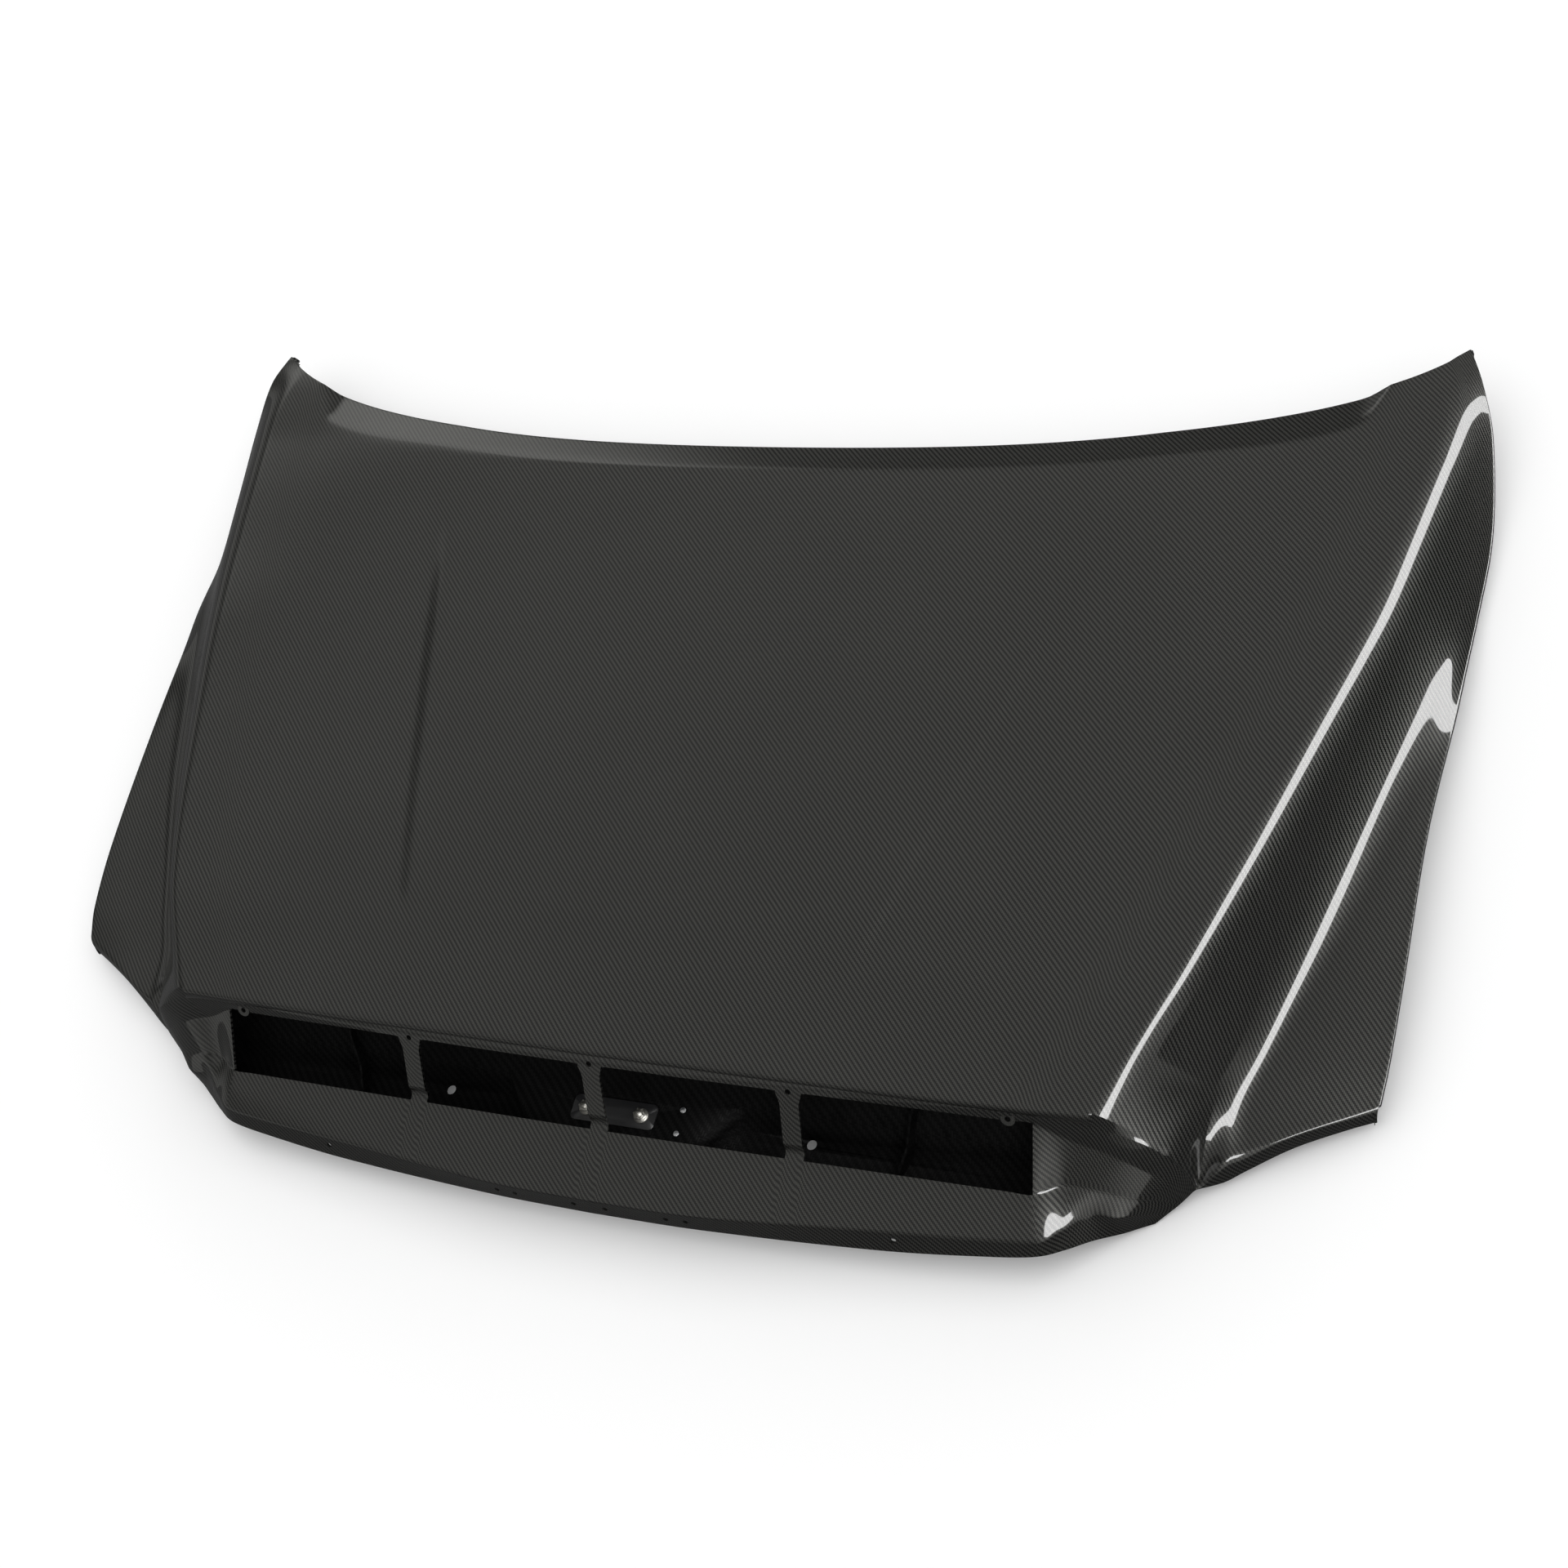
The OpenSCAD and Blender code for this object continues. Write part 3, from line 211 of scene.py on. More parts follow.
# the room is darker low down, paler at the front and on the left, and has a lit wall behind left
low = 1 - sky.smooth_step(up, 0.4, 0.72)
lower = 1 - sky.smooth_step(up, 0.1, 0.4)
to_left = sky.smooth_step(right * -1, 0.05, 0.65)
to_front = sky.smooth_step(back * -1, 0.0, 0.5)
front_right = to_front * sky.smooth_step(right, 0.0, 0.35)
level = (OVERHEAD - low * LOW_LOSS + low * (to_front * FRONT_GLOW + front_right * FRONT_RIGHT_GLOW)
         + lower * to_left * LEFT_GLOW)
wall = (sky.smooth_step(right * -0.875 - back * 0.485, -0.04, 0.08) * sky.smooth_step(up, 0.2, 0.34)
        * sky.smooth_step(right * 0.545 + back * 0.84, 0.0, 0.12)
        * (1 - sky.smooth_step(up, 0.48, 0.6)))
level = level + wall * WALL_GLOW
room = sky.make("CombineColor", Red=level, Green=level, Blue=level * BLUE_SHARE)
shown = sky.make("Background", Color=(1, 1, 1, 1), Strength=1.0)
mirrored_room = sky.make("Background", Color=room, Strength=1.0)
light = up.math("MAXIMUM", 0.0) * FROM_ABOVE + back.math("MAXIMUM", 0.0) * FROM_BEHIND + ALL_ROUND
lighting = sky.make("Background", Color=(1, 1, 1, 1), Strength=light)
by_gloss = sky.make("MixShader", _0=glossy, _1=lighting, _2=mirrored_room)
by_eye = sky.make("MixShader", _0=(direct + through) > 0.5, _1=by_gloss, _2=shown)
world_out = sky.tree.nodes.new("ShaderNodeOutputWorld")
sky.tree.links.new(by_eye.socket, world_out.inputs["Surface"])
print("surround ready")


# %% [markdown]
# ## The soft box
# One long, narrow lamp on the right draws a bright line along every ridge that turns towards it.
# It is left out of the diffuse light, so it shows in the clear coat without bleaching the cloth.

# %% Soft box
def soft_box(name, place, aim, width, depth, strength):
    """An area lamp that shows in reflections only; width is across its aim, depth the other side."""
    lamp = bpy.data.lights.new(name, "AREA")
    lamp.shape = "RECTANGLE"
    lamp.size, lamp.size_y = width, depth
    lamp.energy = strength
    body = bpy.data.objects.new(name, lamp)
    bpy.context.scene.collection.objects.link(body)
    body.location = place
    body.visible_diffuse = False
    body.rotation_euler = (Vector(aim) - Vector(place)).to_track_quat("-Z", "Y").to_euler()
    return body


soft_box("right_box", (2.6, 0.1, 2.0), (0.75, 0.5, 0.1), 6.2, 1.0, 250)

# %% [markdown]
# ## Carbon twill under clear coat
# The cloth is a 2x2 twill: each tow goes over two and under two, one step on from its neighbour, so
# fine diagonal lines run over the bonnet. The pattern is worked out from UV metres that follow the
# cloth over its bends. Tows along and across catch the light differently, and that sheen is painted
# into the colour: tows one way are painted lighter, and each tow darker towards its edges as painted
# shade. A smooth clear coat lies over both. The coat isn't bumped, only the cloth under it.

# %% Carbon finish
TOW = 0.001665


def twill(f, tow=TOW):
    """Which way the upper tow runs (1 or 0), how high it stands, its fibres and the cloth's place."""
    cloth = f.make("UVMap", {"uv_map": "cloth"})
    u, v, _ = f.parts(cloth)
    u, v = u / tow, v / tow
    i, j = u.math("FLOOR"), v.math("FLOOR")
    over = (i + j).math("FLOORED_MODULO", 4.0) < 1.5
    # each tow is round across its width
    crown = lambda t: 1 - t * t * 4
    height = over * crown(u - i - 0.5) + (1 - over) * crown(v - j - 0.5)
    along_u = f.noise(f.make("CombineXYZ", X=u * 9.0, Y=v * 0.35), 1.0, 1.0)
    along_v = f.noise(f.make("CombineXYZ", X=u * 0.35, Y=v * 9.0), 1.0, 1.0)
    return over, height, over * along_u + (1 - over) * along_v - 0.5, cloth


def carbon(name, coat_roughness):
    f = Finish(name)
    over, height, fibre, cloth = twill(f)
    batch = f.noise(cloth, 6.0, 3.0) - 0.5
    # painted sheen and painted shade: tows running along u are painted lighter than those across, and each
    # tow is painted darker towards its edges; the fibre streaks and batch blotches are the cloth's own tone
    tow_tone_and_painted_sheen = (over * 0.86 + 0.02 + fibre * 0.5 + batch * 0.2) * (height * 0.6 + 0.4)
    colour = f.blend(tow_tone_and_painted_sheen, (0.0015, 0.0015, 0.0014, 1), (0.058, 0.058, 0.053, 1))
    bump = f.make("Bump", Strength=0.35, Distance=0.0002, Height=height + fibre * 0.25)
    skin = f.make("BsdfPrincipled", Base_Color=colour, Metallic=0.5, Normal=bump,
                  Roughness=0.34 + fibre * 0.12 + over * 0.06, Specular_IOR_Level=0.2,
                  Coat_Weight=1.0, Coat_Roughness=coat_roughness, Coat_IOR=1.5)
    return f.surface(skin)


carbon_skin = carbon("carbon_skin", 0.05)
carbon_nose = carbon("carbon_nose", 0.06)
print("carbon finishes:", carbon_skin.name, carbon_nose.name)

# %% [markdown]
# ## Feature lines of the skin
# The skin is ruled by a few lines that run from the nose to the windscreen: the main ridge, the
# valley beside the wing, the wing's crest and the side edge. Each is a short table of
# (y, x, z) in millimetres, and `along` draws a smooth curve through its rows.

# %% Curves through tables
def along(table, t):
    """The smooth curve through the rows of a table, at t in its first column."""
    p, t = np.array(table, float), np.asarray(t, float)
    last = len(p) - 1
    i = np.clip(np.searchsorted(p[:, 0], t, side="right") - 1, 0, last - 1)
    before, after = np.maximum(np.arange(last + 1) - 1, 0), np.minimum(np.arange(last + 1) + 1, last)
    slope = (p[after] - p[before]) / (p[after, 0] - p[before, 0])[:, None]
    h = (p[i + 1, 0] - p[i, 0])[..., None]
    u = np.clip((t - p[i, 0])[..., None] / h, -0.6, 1.3)
    return (p[i] * (2 * u**3 - 3 * u**2 + 1) + slope[i] * h * (u**3 - 2 * u**2 + u)
            + p[i + 1] * (3 * u**2 - 2 * u**3) + slope[i + 1] * h * (u**3 - u**2))


def mix(a, b, t):
    return a * (1 - t) + b * t


def smooth(a, b, t):
    """Rises softly from 0 at a to 1 at b."""
    u = np.clip((t - a) / (b - a), 0, 1)
    return u * u * (3 - 2 * u)


def ramp(u, w):
    """Turns softly from nothing to u itself over the width w."""
    return (u + np.sqrt(u * u + w * w)) / 2


RIDGE = [(-10, 566, 2), (143, 632, 27), (433, 725.25, 24), (647, 777, 11), (800, 803, 6),
         (860, 808, 6), (900, 801, 6), (945, 782, 5)]
EDGE = [(84, 827, -98), (120, 831, -87), (205, 834, -74), (376, 836, -62), (536, 846, -67),
        (640, 850, -70), (740, 854, -58), (850, 843, -24), (904, 827, 0), (945, 810, 5)]
WING = [(14, 690, -98), (64, 686, -92), (122, 705, -85), (320, 762, -70), (487, 805, -62),
        (563, 826, -62), (650, 842, -67)]
VALLEY = [(-24, 657, -119), (64, 672, -112), (122, 688, -101), (320, 742, -80), (487, 788, -69),
          (563, 810, -67), (650, 833, -66)]
CENTRE = [(-10, 11.5), (200, 23), (400, 23), (600, 19), (758, 16), (820, 14)]
CROWN_RISE, CREASE_W, BAND_W, BAND_DROP = 3.5, 24, 38, 9
CORNER_HALF, REAR_CENTRE, REAR_SWEEP = 812, 800, 146
RIDGE_ROUND, FOOT_ROUND = 22, 38
MERGE_Y = 645
print("ridge at mid length:", along(RIDGE, 400.0).round(1))


# %% [markdown]
# ## Height of the skin
# The skin's level at (x, y) is put together from parts that can be named on the real one: a nearly
# flat panel, a band that turns down towards the windscreen, a flank, the wing beside it and, at
# the nose, a cheek with a gutter. Where two parts meet, a rounded minimum or maximum joins them,
# as the radius of a mould would.

# %% Height of the skin
def merged(line, shift, y):
    """A line of the wing, which keeps a fixed distance from the edge behind MERGE_Y."""
    ahead = along(line, y)
    behind = along(EDGE, y) + shift
    return np.where((y < MERGE_Y)[..., None], ahead, behind)


def wing(y): return merged(WING, (0, -8, 3), y)
def valley(y): return merged(VALLEY, (0, -17, 5), y)
def field_x(y): return mix(296, 455, (y - 147) / 560)


def rear_y(x):
    q = x / CORNER_HALF
    return REAR_CENTRE + REAR_SWEEP * (0.33 * q**2 + 0.67 * q**4)


def panel_z(x, y):
    r = along(RIDGE, y)
    grow = smooth(96, 160, y) * (1 - smooth(480, 740, y))
    inside = 1 - smooth(-CREASE_W / 2, CREASE_W / 2, x - field_x(y))
    return (mix(along(CENTRE, y)[..., 1], r[..., 2], np.clip(x / r[..., 1], None, 1) ** 2)
            + CROWN_RISE * grow * (inside - 0.5))


def band_at(x): return (BAND_W + 15 * smooth(480, 700, x)) * (1 - smooth(700, 740, x))


def band_z(x, y):
    w = band_at(x)
    depth = BAND_DROP * w / BAND_W * ramp((y - rear_y(x)) / np.maximum(w, 1) + 1, 0.12)
    return np.where(w < 1, 0, depth)


def soft_min(a, b, k):
    """The lower of two levels, rounded where they cross."""
    return np.minimum(a, b) - np.clip(k - np.abs(a - b), 0, None) ** 2 / (4 * k)


def soft_max(a, b, k): return -soft_min(-a, -b, k)


def on_wing(x, y, w, e):
    t = np.clip((x - w[..., 1]) / (e[..., 1] - w[..., 1]), 0, 1)
    return mix(w[..., 2], e[..., 2], t) + 3 * np.sin(np.pi * t) * (1 - smooth(560, 640, y))


def flank_z(x, r, start, q, top):
    """A straight flank that falls from the ridge to the point q and is rounded at the ridge."""
    slope = np.maximum(0.02, (r[..., 2] - q[..., 2]) / (q[..., 1] - start))
    crest = RIDGE_ROUND * mix(0.55, 1, smooth(40, 350, r[..., 0]))
    return soft_min(top, r[..., 2] - slope * (x - start), slope * crest)


def side_z(x, y, top):
    """Behind the nose: the flank runs out onto the wing, and at the rear into the edge."""
    r, e, w = along(RIDGE, y), along(EDGE, y), wing(y)
    start = r[..., 1] + mix(7, 2, smooth(200, 450, y))
    foot = mix(18, FOOT_ROUND, smooth(80, 350, y))
    slope = np.maximum(0.02, (r[..., 2] - w[..., 2]) / (w[..., 1] - start))
    on_foot = soft_max(on_wing(x, y, w, e), flank_z(x, r, start, w, top), slope * foot)
    return mix(on_foot, flank_z(x, r, start, e, top), smooth(540, 650, y))


def cheek_z(x, y, top):
    """At the nose: a swelling cheek, a gutter beside it and the wing's front corner."""
    r, v, w = along(RIDGE, y), valley(y), wing(y)
    t = ramp(x - r[..., 1] - 6.4, 8) / (v[..., 1] - r[..., 1] - 6.4)
    cheek = top - (r[..., 2] - v[..., 2]) * t * (0.56 + 0.44 * np.minimum(1, t) ** 12)
    gutter = mix(v[..., 2], w[..., 2], smooth(0, 1, (x - v[..., 1]) / (w[..., 1] - v[..., 1])))
    return np.where(x < v[..., 1], cheek, np.where(x < w[..., 1], gutter, on_wing(x, y, w, along(EDGE, y))))


def top_z(x, y):
    top = panel_z(x, y) - band_z(x, y)
    beside = mix(cheek_z(x, y, top), side_z(x, y, top), smooth(-30, 60, y))
    return np.where(x < along(RIDGE, y)[..., 1] - 70, top, beside)


print("panel height on the centre line:", top_z(np.array(0.0), np.array(400.0)).round(2))

# %% [markdown]
# ## A fine net for the skin
# The net has columns that fan out from the centre line and rows from nose to windscreen. Columns
# lie close together where the shell bends, on the ridge and the crease, and wide apart on the flat
# field. A column is a place between two feature lines: (line, share of the way to the next).

# %% Columns and rows
RIDGE_FRONT, OPENING_END = 570, 506


def nose_rows(inside, outside):
    """Inside the opening's end a row is (share of the way, y, z), outside it (key, x, y, z)."""
    return ([(t * OPENING_END, t * OPENING_END, y, z) for t, y, z in inside]
            + [(RIDGE_FRONT + key, RIDGE_FRONT + x, y, z) for key, x, y, z in outside])


PARTING = nose_rows([(0, -15.5, 4.5), (0.65, -13, 1)], [
    (-64, -62, -9.5, -5.5), (-10, -10, -8.5, -11), (30, 30, -11, -26), (64, 64, -15, -50),
    (80, 80, -20, -85), (87, 87, -25, -119)])
WING_FOOT = [(657, 657, -25, -119), (683, 683, -11, -124), (702, 702, 2, -121),
             (747, 747, 32, -116), (797, 797, 59, -116), (827, 824, 72, -117)]
FRONT = [(570, -1), (600, -4), (630, -9), (657, -18), (690, 12), (731, 29), (761, 45), (798, 66),
         (827, 84)]
FRONT_X = np.array([0, 239.4, 570, 657, 690, 827.0])
REAR_X = np.array([0, 490, 782, 795, 804, 812.0])


def spread(*stretches):
    """Shares from 0 to 1: each stretch is (end, steps)."""
    out, at = [0.0], 0.0
    for end, steps in stretches:
        out += list(np.linspace(at, end, steps + 1)[1:])
        at = end
    return out


segments = [
    spread((1, 24))[:-1],
    spread((0.09, 12), (0.9, 30), (1, 12))[:-1],
    spread((0.25, 16), (0.9, 20), (1, 4))[:-1],
    spread((1, 9))[:-1],
    spread((0.12, 6), (0.9, 18), (1, 4)),
]
column = np.array([(k, t) for k, seg in enumerate(segments) for t in seg])
line, share = column[:, 0].astype(int), column[:, 1]
front_x = mix(FRONT_X[line], FRONT_X[line + 1], share)
rear_x = mix(REAR_X[line], REAR_X[line + 1], share)
rows = np.concatenate([np.linspace(0, 0.06, 9)[:-1], np.linspace(0.06, 1, 96)[:-1],
                       np.linspace(1, 1.3, 13)[:-1], np.linspace(1.3, 2, 14)])
print("columns on one side:", len(column), "rows:", len(rows))


# %% [markdown]
# ## From lines to points
# Each row runs across all columns at one share of the way to the windscreen. In front, a soft curve
# rolls from the parting line onto the top. Behind, short steps turn the rear edge down, because a
# laminate's edge is never sharp.

# %% Points of the skin
def line_x(k, y):
    lines = [0 * y, field_x(y) - CREASE_W / 2, along(RIDGE, y)[..., 1], valley(y)[..., 1],
             wing(y)[..., 1], along(EDGE, y)[..., 1]]
    return np.choose(k, lines)


def surface_point(s):
    """Row s of the skin, for every column."""
    inner = -4 + 3 * (front_x / 570) ** 2
    start = np.where(front_x < 570, inner, along(FRONT, front_x)[:, 1])
    end = rear_y(rear_x)
    crease = end - band_at(rear_x) - 5
    y = mix(start, crease, s) if s < 1 else mix(crease, end, s - 1)
    x = mix(line_x(line, y), line_x(line + 1, y), share)
    return np.stack([x, y, top_z(x, y)], -1)


def front_roll():
    """The foot on the parting line and the rounding above it, for every column."""
    top = surface_point(0)
    foot = np.where((front_x < 657)[:, None], along(PARTING, front_x), along(WING_FOOT, front_x))[:, 1:]
    knee = np.where((line < 2)[:, None], np.stack([foot[:, 0], foot[:, 1], top[:, 2] - 1], -1),
                    np.where((line == 2)[:, None], mix(foot, top, 0.5),
                             np.stack([mix(foot[:, 0], top[:, 0], 0.3), mix(foot[:, 1], top[:, 1], 0.3),
                                       top[:, 2] - 1], -1)))
    # a soft curve from the foot past the knee to the top
    return [foot * (1 - t) ** 2 + knee * 2 * t * (1 - t) + top * t * t
            for t in np.linspace(0, 1, 12)[:-1]]


net = np.array(front_roll() + [surface_point(s) for s in rows])
rear = net[-1]
rear_rows = [rear + (0, dy, dz) for dy, dz in
             ((0.9, -0.4), (1.5, -1.5), (1.6, -3), (1.2, -6), (0.8, -9.5), (0.5, -13))]
net = np.array(list(net) + rear_rows)
print("net:", net.shape)

# %% [markdown]
# ## From the net to a mesh
# Blender's own grid primitive gives the faces and a UV map. Its points are then set from the net,
# mirrored for the left half, and the free edges at the sides are extruded down as a flange. The
# cloth's UV is measured along the surface, so that the twill keeps its size on the steep flanks.

# %% Grid to sheet helper
def lengths(steps):
    return np.concatenate([np.zeros((1,) + steps.shape[1:-1]),
                           np.cumsum(np.linalg.norm(np.diff(steps, axis=0), axis=-1), axis=0)])


def grid_sheet(name, points, cloth):
    """points and cloth run [row, column]; columns from left to right."""
    m, n = points.shape[:2]
    bpy.ops.object.select_all(action="DESELECT")
    bpy.ops.mesh.primitive_grid_add(x_subdivisions=n - 1, y_subdivisions=m - 1, size=1)
    sheet = bpy.context.object
    sheet.name = sheet.data.name = name
    mesh = sheet.data
    mesh.vertices.foreach_set("co", laid(points).reshape(-1))
    flat = cloth.reshape(-1, 2)
    corner = np.zeros(len(mesh.loops), int)
    mesh.loops.foreach_get("vertex_index", corner)
    layer = mesh.uv_layers[0]
    layer.name = "cloth"
    layer.data.foreach_set("uv", (flat[corner] / 1000).reshape(-1))
    mesh.update()
    return sheet


def both_halves(half, sign=(-1, 1, 1)):
    """half runs [row, column] from the centre line outward."""
    return np.concatenate([half[:, :0:-1] * sign, half], axis=1)


def finish_sheet(sheet, thickness, material, angle=30):
    """Gives the sheet its thickness on the inside, smooths it and assigns its finish."""
    solid = sheet.modifiers.new("thickness", "SOLIDIFY")
    solid.thickness, solid.offset = thickness, -1
    bpy.context.view_layer.objects.active = sheet
    bpy.ops.object.modifier_apply(modifier=solid.name)
    sheet.data.materials.clear()
    sheet.data.materials.append(material)
    bpy.ops.object.select_all(action="DESELECT")
    sheet.select_set(True)
    bpy.ops.object.shade_smooth_by_angle(angle=math.radians(angle))
    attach(sheet, "bonnet")
    return sheet


def sheet_report(sheet):
    lo, hi = np.array(sheet.bound_box).min(0), np.array(sheet.bound_box).max(0)
    print(sheet.name, "faces:", len(sheet.data.polygons), "size:", (hi - lo).round(4))


# %% [markdown]
# ## The outer skin
# The real skin is laid up in one mould and trimmed. Here its sides turn down in small steps, which
# fade out at the corners so that no spike is left there. One piece stands in for the four CAD nodes
# of the skin.

# %% Outer skin
SHELL_T = 0.003
side = net[:, -1]
n_front, n_all = 11, len(net)
# the flange is shallow along the front roll and fades over the last rows
tuck = np.where(np.arange(n_all) < n_front, 0.25, 1.0)
tuck[-8:-6], tuck[-6:] = 0.85, 0.85 * (1 - np.array([0.4, 1.5, 3, 6, 9.5, 13]) / 13)
drop = []
for dx, dz in ((0.9, -0.4), (1.5, -1.6), (1.6, -3.2), (1.2, -5), (-0.4, -8), (-2.6, -12), (-5, -16)):
    drop.append(side + np.stack([dx * tuck, 0 * tuck, dz * tuck], -1))
half = np.concatenate([net, np.array(drop).transpose(1, 0, 2)], axis=1)
# the cloth isn't sheared: each column is as far across as its points are on average
across = lengths(half.transpose(1, 0, 2)).T
across = half[:, :, 0] + (across - half[:, :, 0])[n_front:].mean(0)
up_front = lengths(half[:n_front + 1])
cloth_y = half[:, :, 1] * 1.0
cloth_y[:n_front + 1] = cloth_y[n_front] + up_front - up_front[-1]
cloth_half = np.stack([across, cloth_y], -1)
skin = grid_sheet("skin_shell", both_halves(half), both_halves(cloth_half, (-1, 1)))
finish_sheet(skin, SHELL_T, carbon_skin)
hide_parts("outer_skin", "skin_rear_band", "skin_side_left", "skin_side_right")
sheet_report(skin)

# %% [markdown]
# ## The nose
# Five lines run across the nose: the parting line under the skin's front edge, the openings' upper
# and lower edges, the lip's crest and the lip's foot. A column joins them with straight stretches,
# which are then averaged over a few millimetres, so that every edge gets the small radius that a
# mould gives it. The cells of the four openings are left out of the net.

# %% Lines of the nose
LIP, BAR_HALF, BAR_PITCH, JOGGLE = 152, 11, 239, 4
NOSE = [
    PARTING,
    nose_rows([(0, -24, -1), (0.26, -23, -2), (0.65, -19, -7), (0.95, -14.5, -15)], [
        (-64, -64, -13, -17), (-25, -25, -20, -35), (10, 20, -27, -48), (40, 52, -30, -70),
        (65, 70, -31, -92), (90, 80, -32, -122)]),
    nose_rows([(0, -76, -66), (0.26, -75.5, -66), (0.65, -74, -66.5), (0.95, -72.5, -67.5)], [
        (-64, -64, -72, -68), (-25, -38, -58, -72), (10, -4, -56, -75), (40, 34, -55, -90),
        (65, 52, -48, -104), (90, 71, -41, -127)]),
    nose_rows([(0, -LIP, -83), (0.26, 2 - LIP, -82), (0.65, 20 - LIP, -86), (0.93, 33 - LIP, -89)], [
        (-64, -55, 39 - LIP, -90), (-25, -32, -95, -90), (10, -9, -76, -90), (40, 18, -74, -97),
        (65, 34, -66, -104), (90, 60, -51, -131)]),
    nose_rows([(0, -LIP - 6, -110), (0.26, -LIP - 4, -110), (0.68, 8 - LIP, -111),
               (0.93, 21 - LIP, -108)], [
        (-64, -58, 28 - LIP, -107), (-25, -32, -111, -112), (10, -7, -95, -118),
        (40, 20, -79, -129), (65, 33, -71, -132), (90, 48, -62, -135.4)])]
TOP_KEYS = [(0, 0), (OPENING_END - 80, OPENING_END - 80)] + [
    (RIDGE_FRONT + a, RIDGE_FRONT + b)
    for a, b in ((-64, -64), (-25, -10), (10, 30), (40, 64), (65, 80), (90, 87))]
nose_keys = np.array(sorted(set(
    list(np.linspace(0, BAR_HALF, 5)) + [12, 13.5, 16, 20, 25] + list(np.linspace(32, 208, 19))
    + [214, 219, 223, 225.5, 227] + list(np.linspace(BAR_PITCH - BAR_HALF, BAR_PITCH + BAR_HALF, 9))
    + [251, 252.5, 255, 259, 265] + list(np.linspace(273, 482, 22))
    + [489, 495, 499, 502, 504.5] + list(np.linspace(OPENING_END, 660, 56)))))
band_rows = [np.linspace(0, 1, 9)[:-1], np.linspace(0, 1, 41)[:-1], np.linspace(0, 1, 33)[:-1],
             np.linspace(0, 1, 15)]
nose_share = np.concatenate([k + r for k, r in enumerate(band_rows)])
print("nose columns:", len(nose_keys), "rows:", len(nose_share))


def nose_line(k, key):
    return along(NOSE[k], along(TOP_KEYS, key)[..., 1] if k == 0 else key)[..., 1:]


def nose_point(key, share):
    """A point of the nose before rounding; share runs from 0 at the parting line to 4."""
    band = min(int(share), 3)
    t = share - band
    # the bars widen towards their heads
    flare = 4 * (1 - smooth(0, 0.2, t)) * (band == 1)
    foot = lambda at: np.exp(-((key - at) / 6) ** 2)
    key = key + flare * (foot(BAR_HALF) + foot(BAR_PITCH + BAR_HALF) - foot(BAR_PITCH - BAR_HALF))
    m = mix(nose_line(band, key), nose_line(band + 1, key), t)
    inner = 1 - smooth(RIDGE_FRONT - 10, RIDGE_FRONT + 30, key)
    swell = (1.2 if band == 0 else 2.5 * inner if band == 2 else 0) * math.sin(math.pi * t)
    if band == 1:
        step = JOGGLE * (smooth(0.78, 0.9, t) - smooth(0.94, 1, t)) * (key < OPENING_END - 1)
        m = m + np.stack([0 * step, 0.78 * step, -0.62 * step], -1)
    return m + np.stack([0 * key, 0 * key, swell + 0 * key], -1)


def rounded_columns(keys, shares, radius=2.2):
    """Averages each column along its own length, which rounds the edges it crosses."""
    fine = np.linspace(0, 4, 241)
    dense = np.array([nose_point(keys, s) for s in fine])
    ahead = [dense[0] + (dense[0] - dense[1]) * k for k in range(12, 0, -1)]
    behind = [dense[-1] + (dense[-1] - dense[-2]) * k for k in range(1, 13)]
    dense = np.array(ahead + list(dense) + behind)
    arc = lengths(dense)
    weight_of = np.gradient(arc, axis=0)
    fine = np.concatenate([np.linspace(-0.2, 0, 13)[:-1], fine, np.linspace(4, 4.2, 13)[1:]])
    out = []
    for s in shares:
        at = np.array([np.interp(s, fine, arc[:, c]) for c in range(len(keys))])
        w = np.exp(-((arc - at) / radius) ** 2) * weight_of
        out.append((dense * w[..., None]).sum(0) / w.sum(0)[:, None])
    return np.array(out)


nose_half = rounded_columns(nose_keys, nose_share)
nose_half[0] = nose_point(nose_keys, 0.0)
print("nose net:", nose_half.shape)

# %% [markdown]
# ## The nose sheet
# The net becomes a grid like the skin's, and the cloth carries on from the skin's front edge. The
# faces inside the four openings are then deleted, which leaves the three bars standing.

# %% Nose sheet
nose_across = lengths(nose_half.transpose(1, 0, 2)).T
skin_top = np.interp(nose_half[0, :, 0], half[0, :, 0], cloth_y[0])
nose_cloth = np.stack([nose_across, skin_top - lengths(nose_half)], -1)
nose_net, nose_uv = both_halves(nose_half), both_halves(nose_cloth, (-1, 1))
nose = grid_sheet("nose_shell", nose_net[::-1], nose_uv[::-1])
column_key = np.abs(np.concatenate([-nose_keys[:0:-1], nose_keys]))
row_share = nose_share[::-1]
mid_key = (column_key[1:] + column_key[:-1]) / 2
mid_share = (row_share[1:] + row_share[:-1]) / 2
in_bar = (mid_key < BAR_HALF) | (np.abs(mid_key - BAR_PITCH) < BAR_HALF)
gone = (((mid_share > 1) & (mid_share < 2))[:, None]
        & (~in_bar & (mid_key < OPENING_END))[None, :]).reshape(-1)
bpy.ops.object.mode_set(mode="EDIT")
bpy.ops.mesh.select_all(action="DESELECT")
bpy.ops.object.mode_set(mode="OBJECT")
nose.data.polygons.foreach_set("select", gone)
bpy.ops.object.mode_set(mode="EDIT")
bpy.ops.mesh.delete(type="FACE")
bpy.ops.object.mode_set(mode="OBJECT")
finish_sheet(nose, SHELL_T, carbon_nose)
sheet_report(nose)

# %% [markdown]
# ## Ears and holes
# Two round ears stand at the outer ends of the openings. Five screws of the grille insert go
# through the ears and the heads of the bars, and eight clips of a rubber seal go through the lip.
# Plain cylinders do both jobs: one joins the shell as an ear, and thinner ones cut the holes.

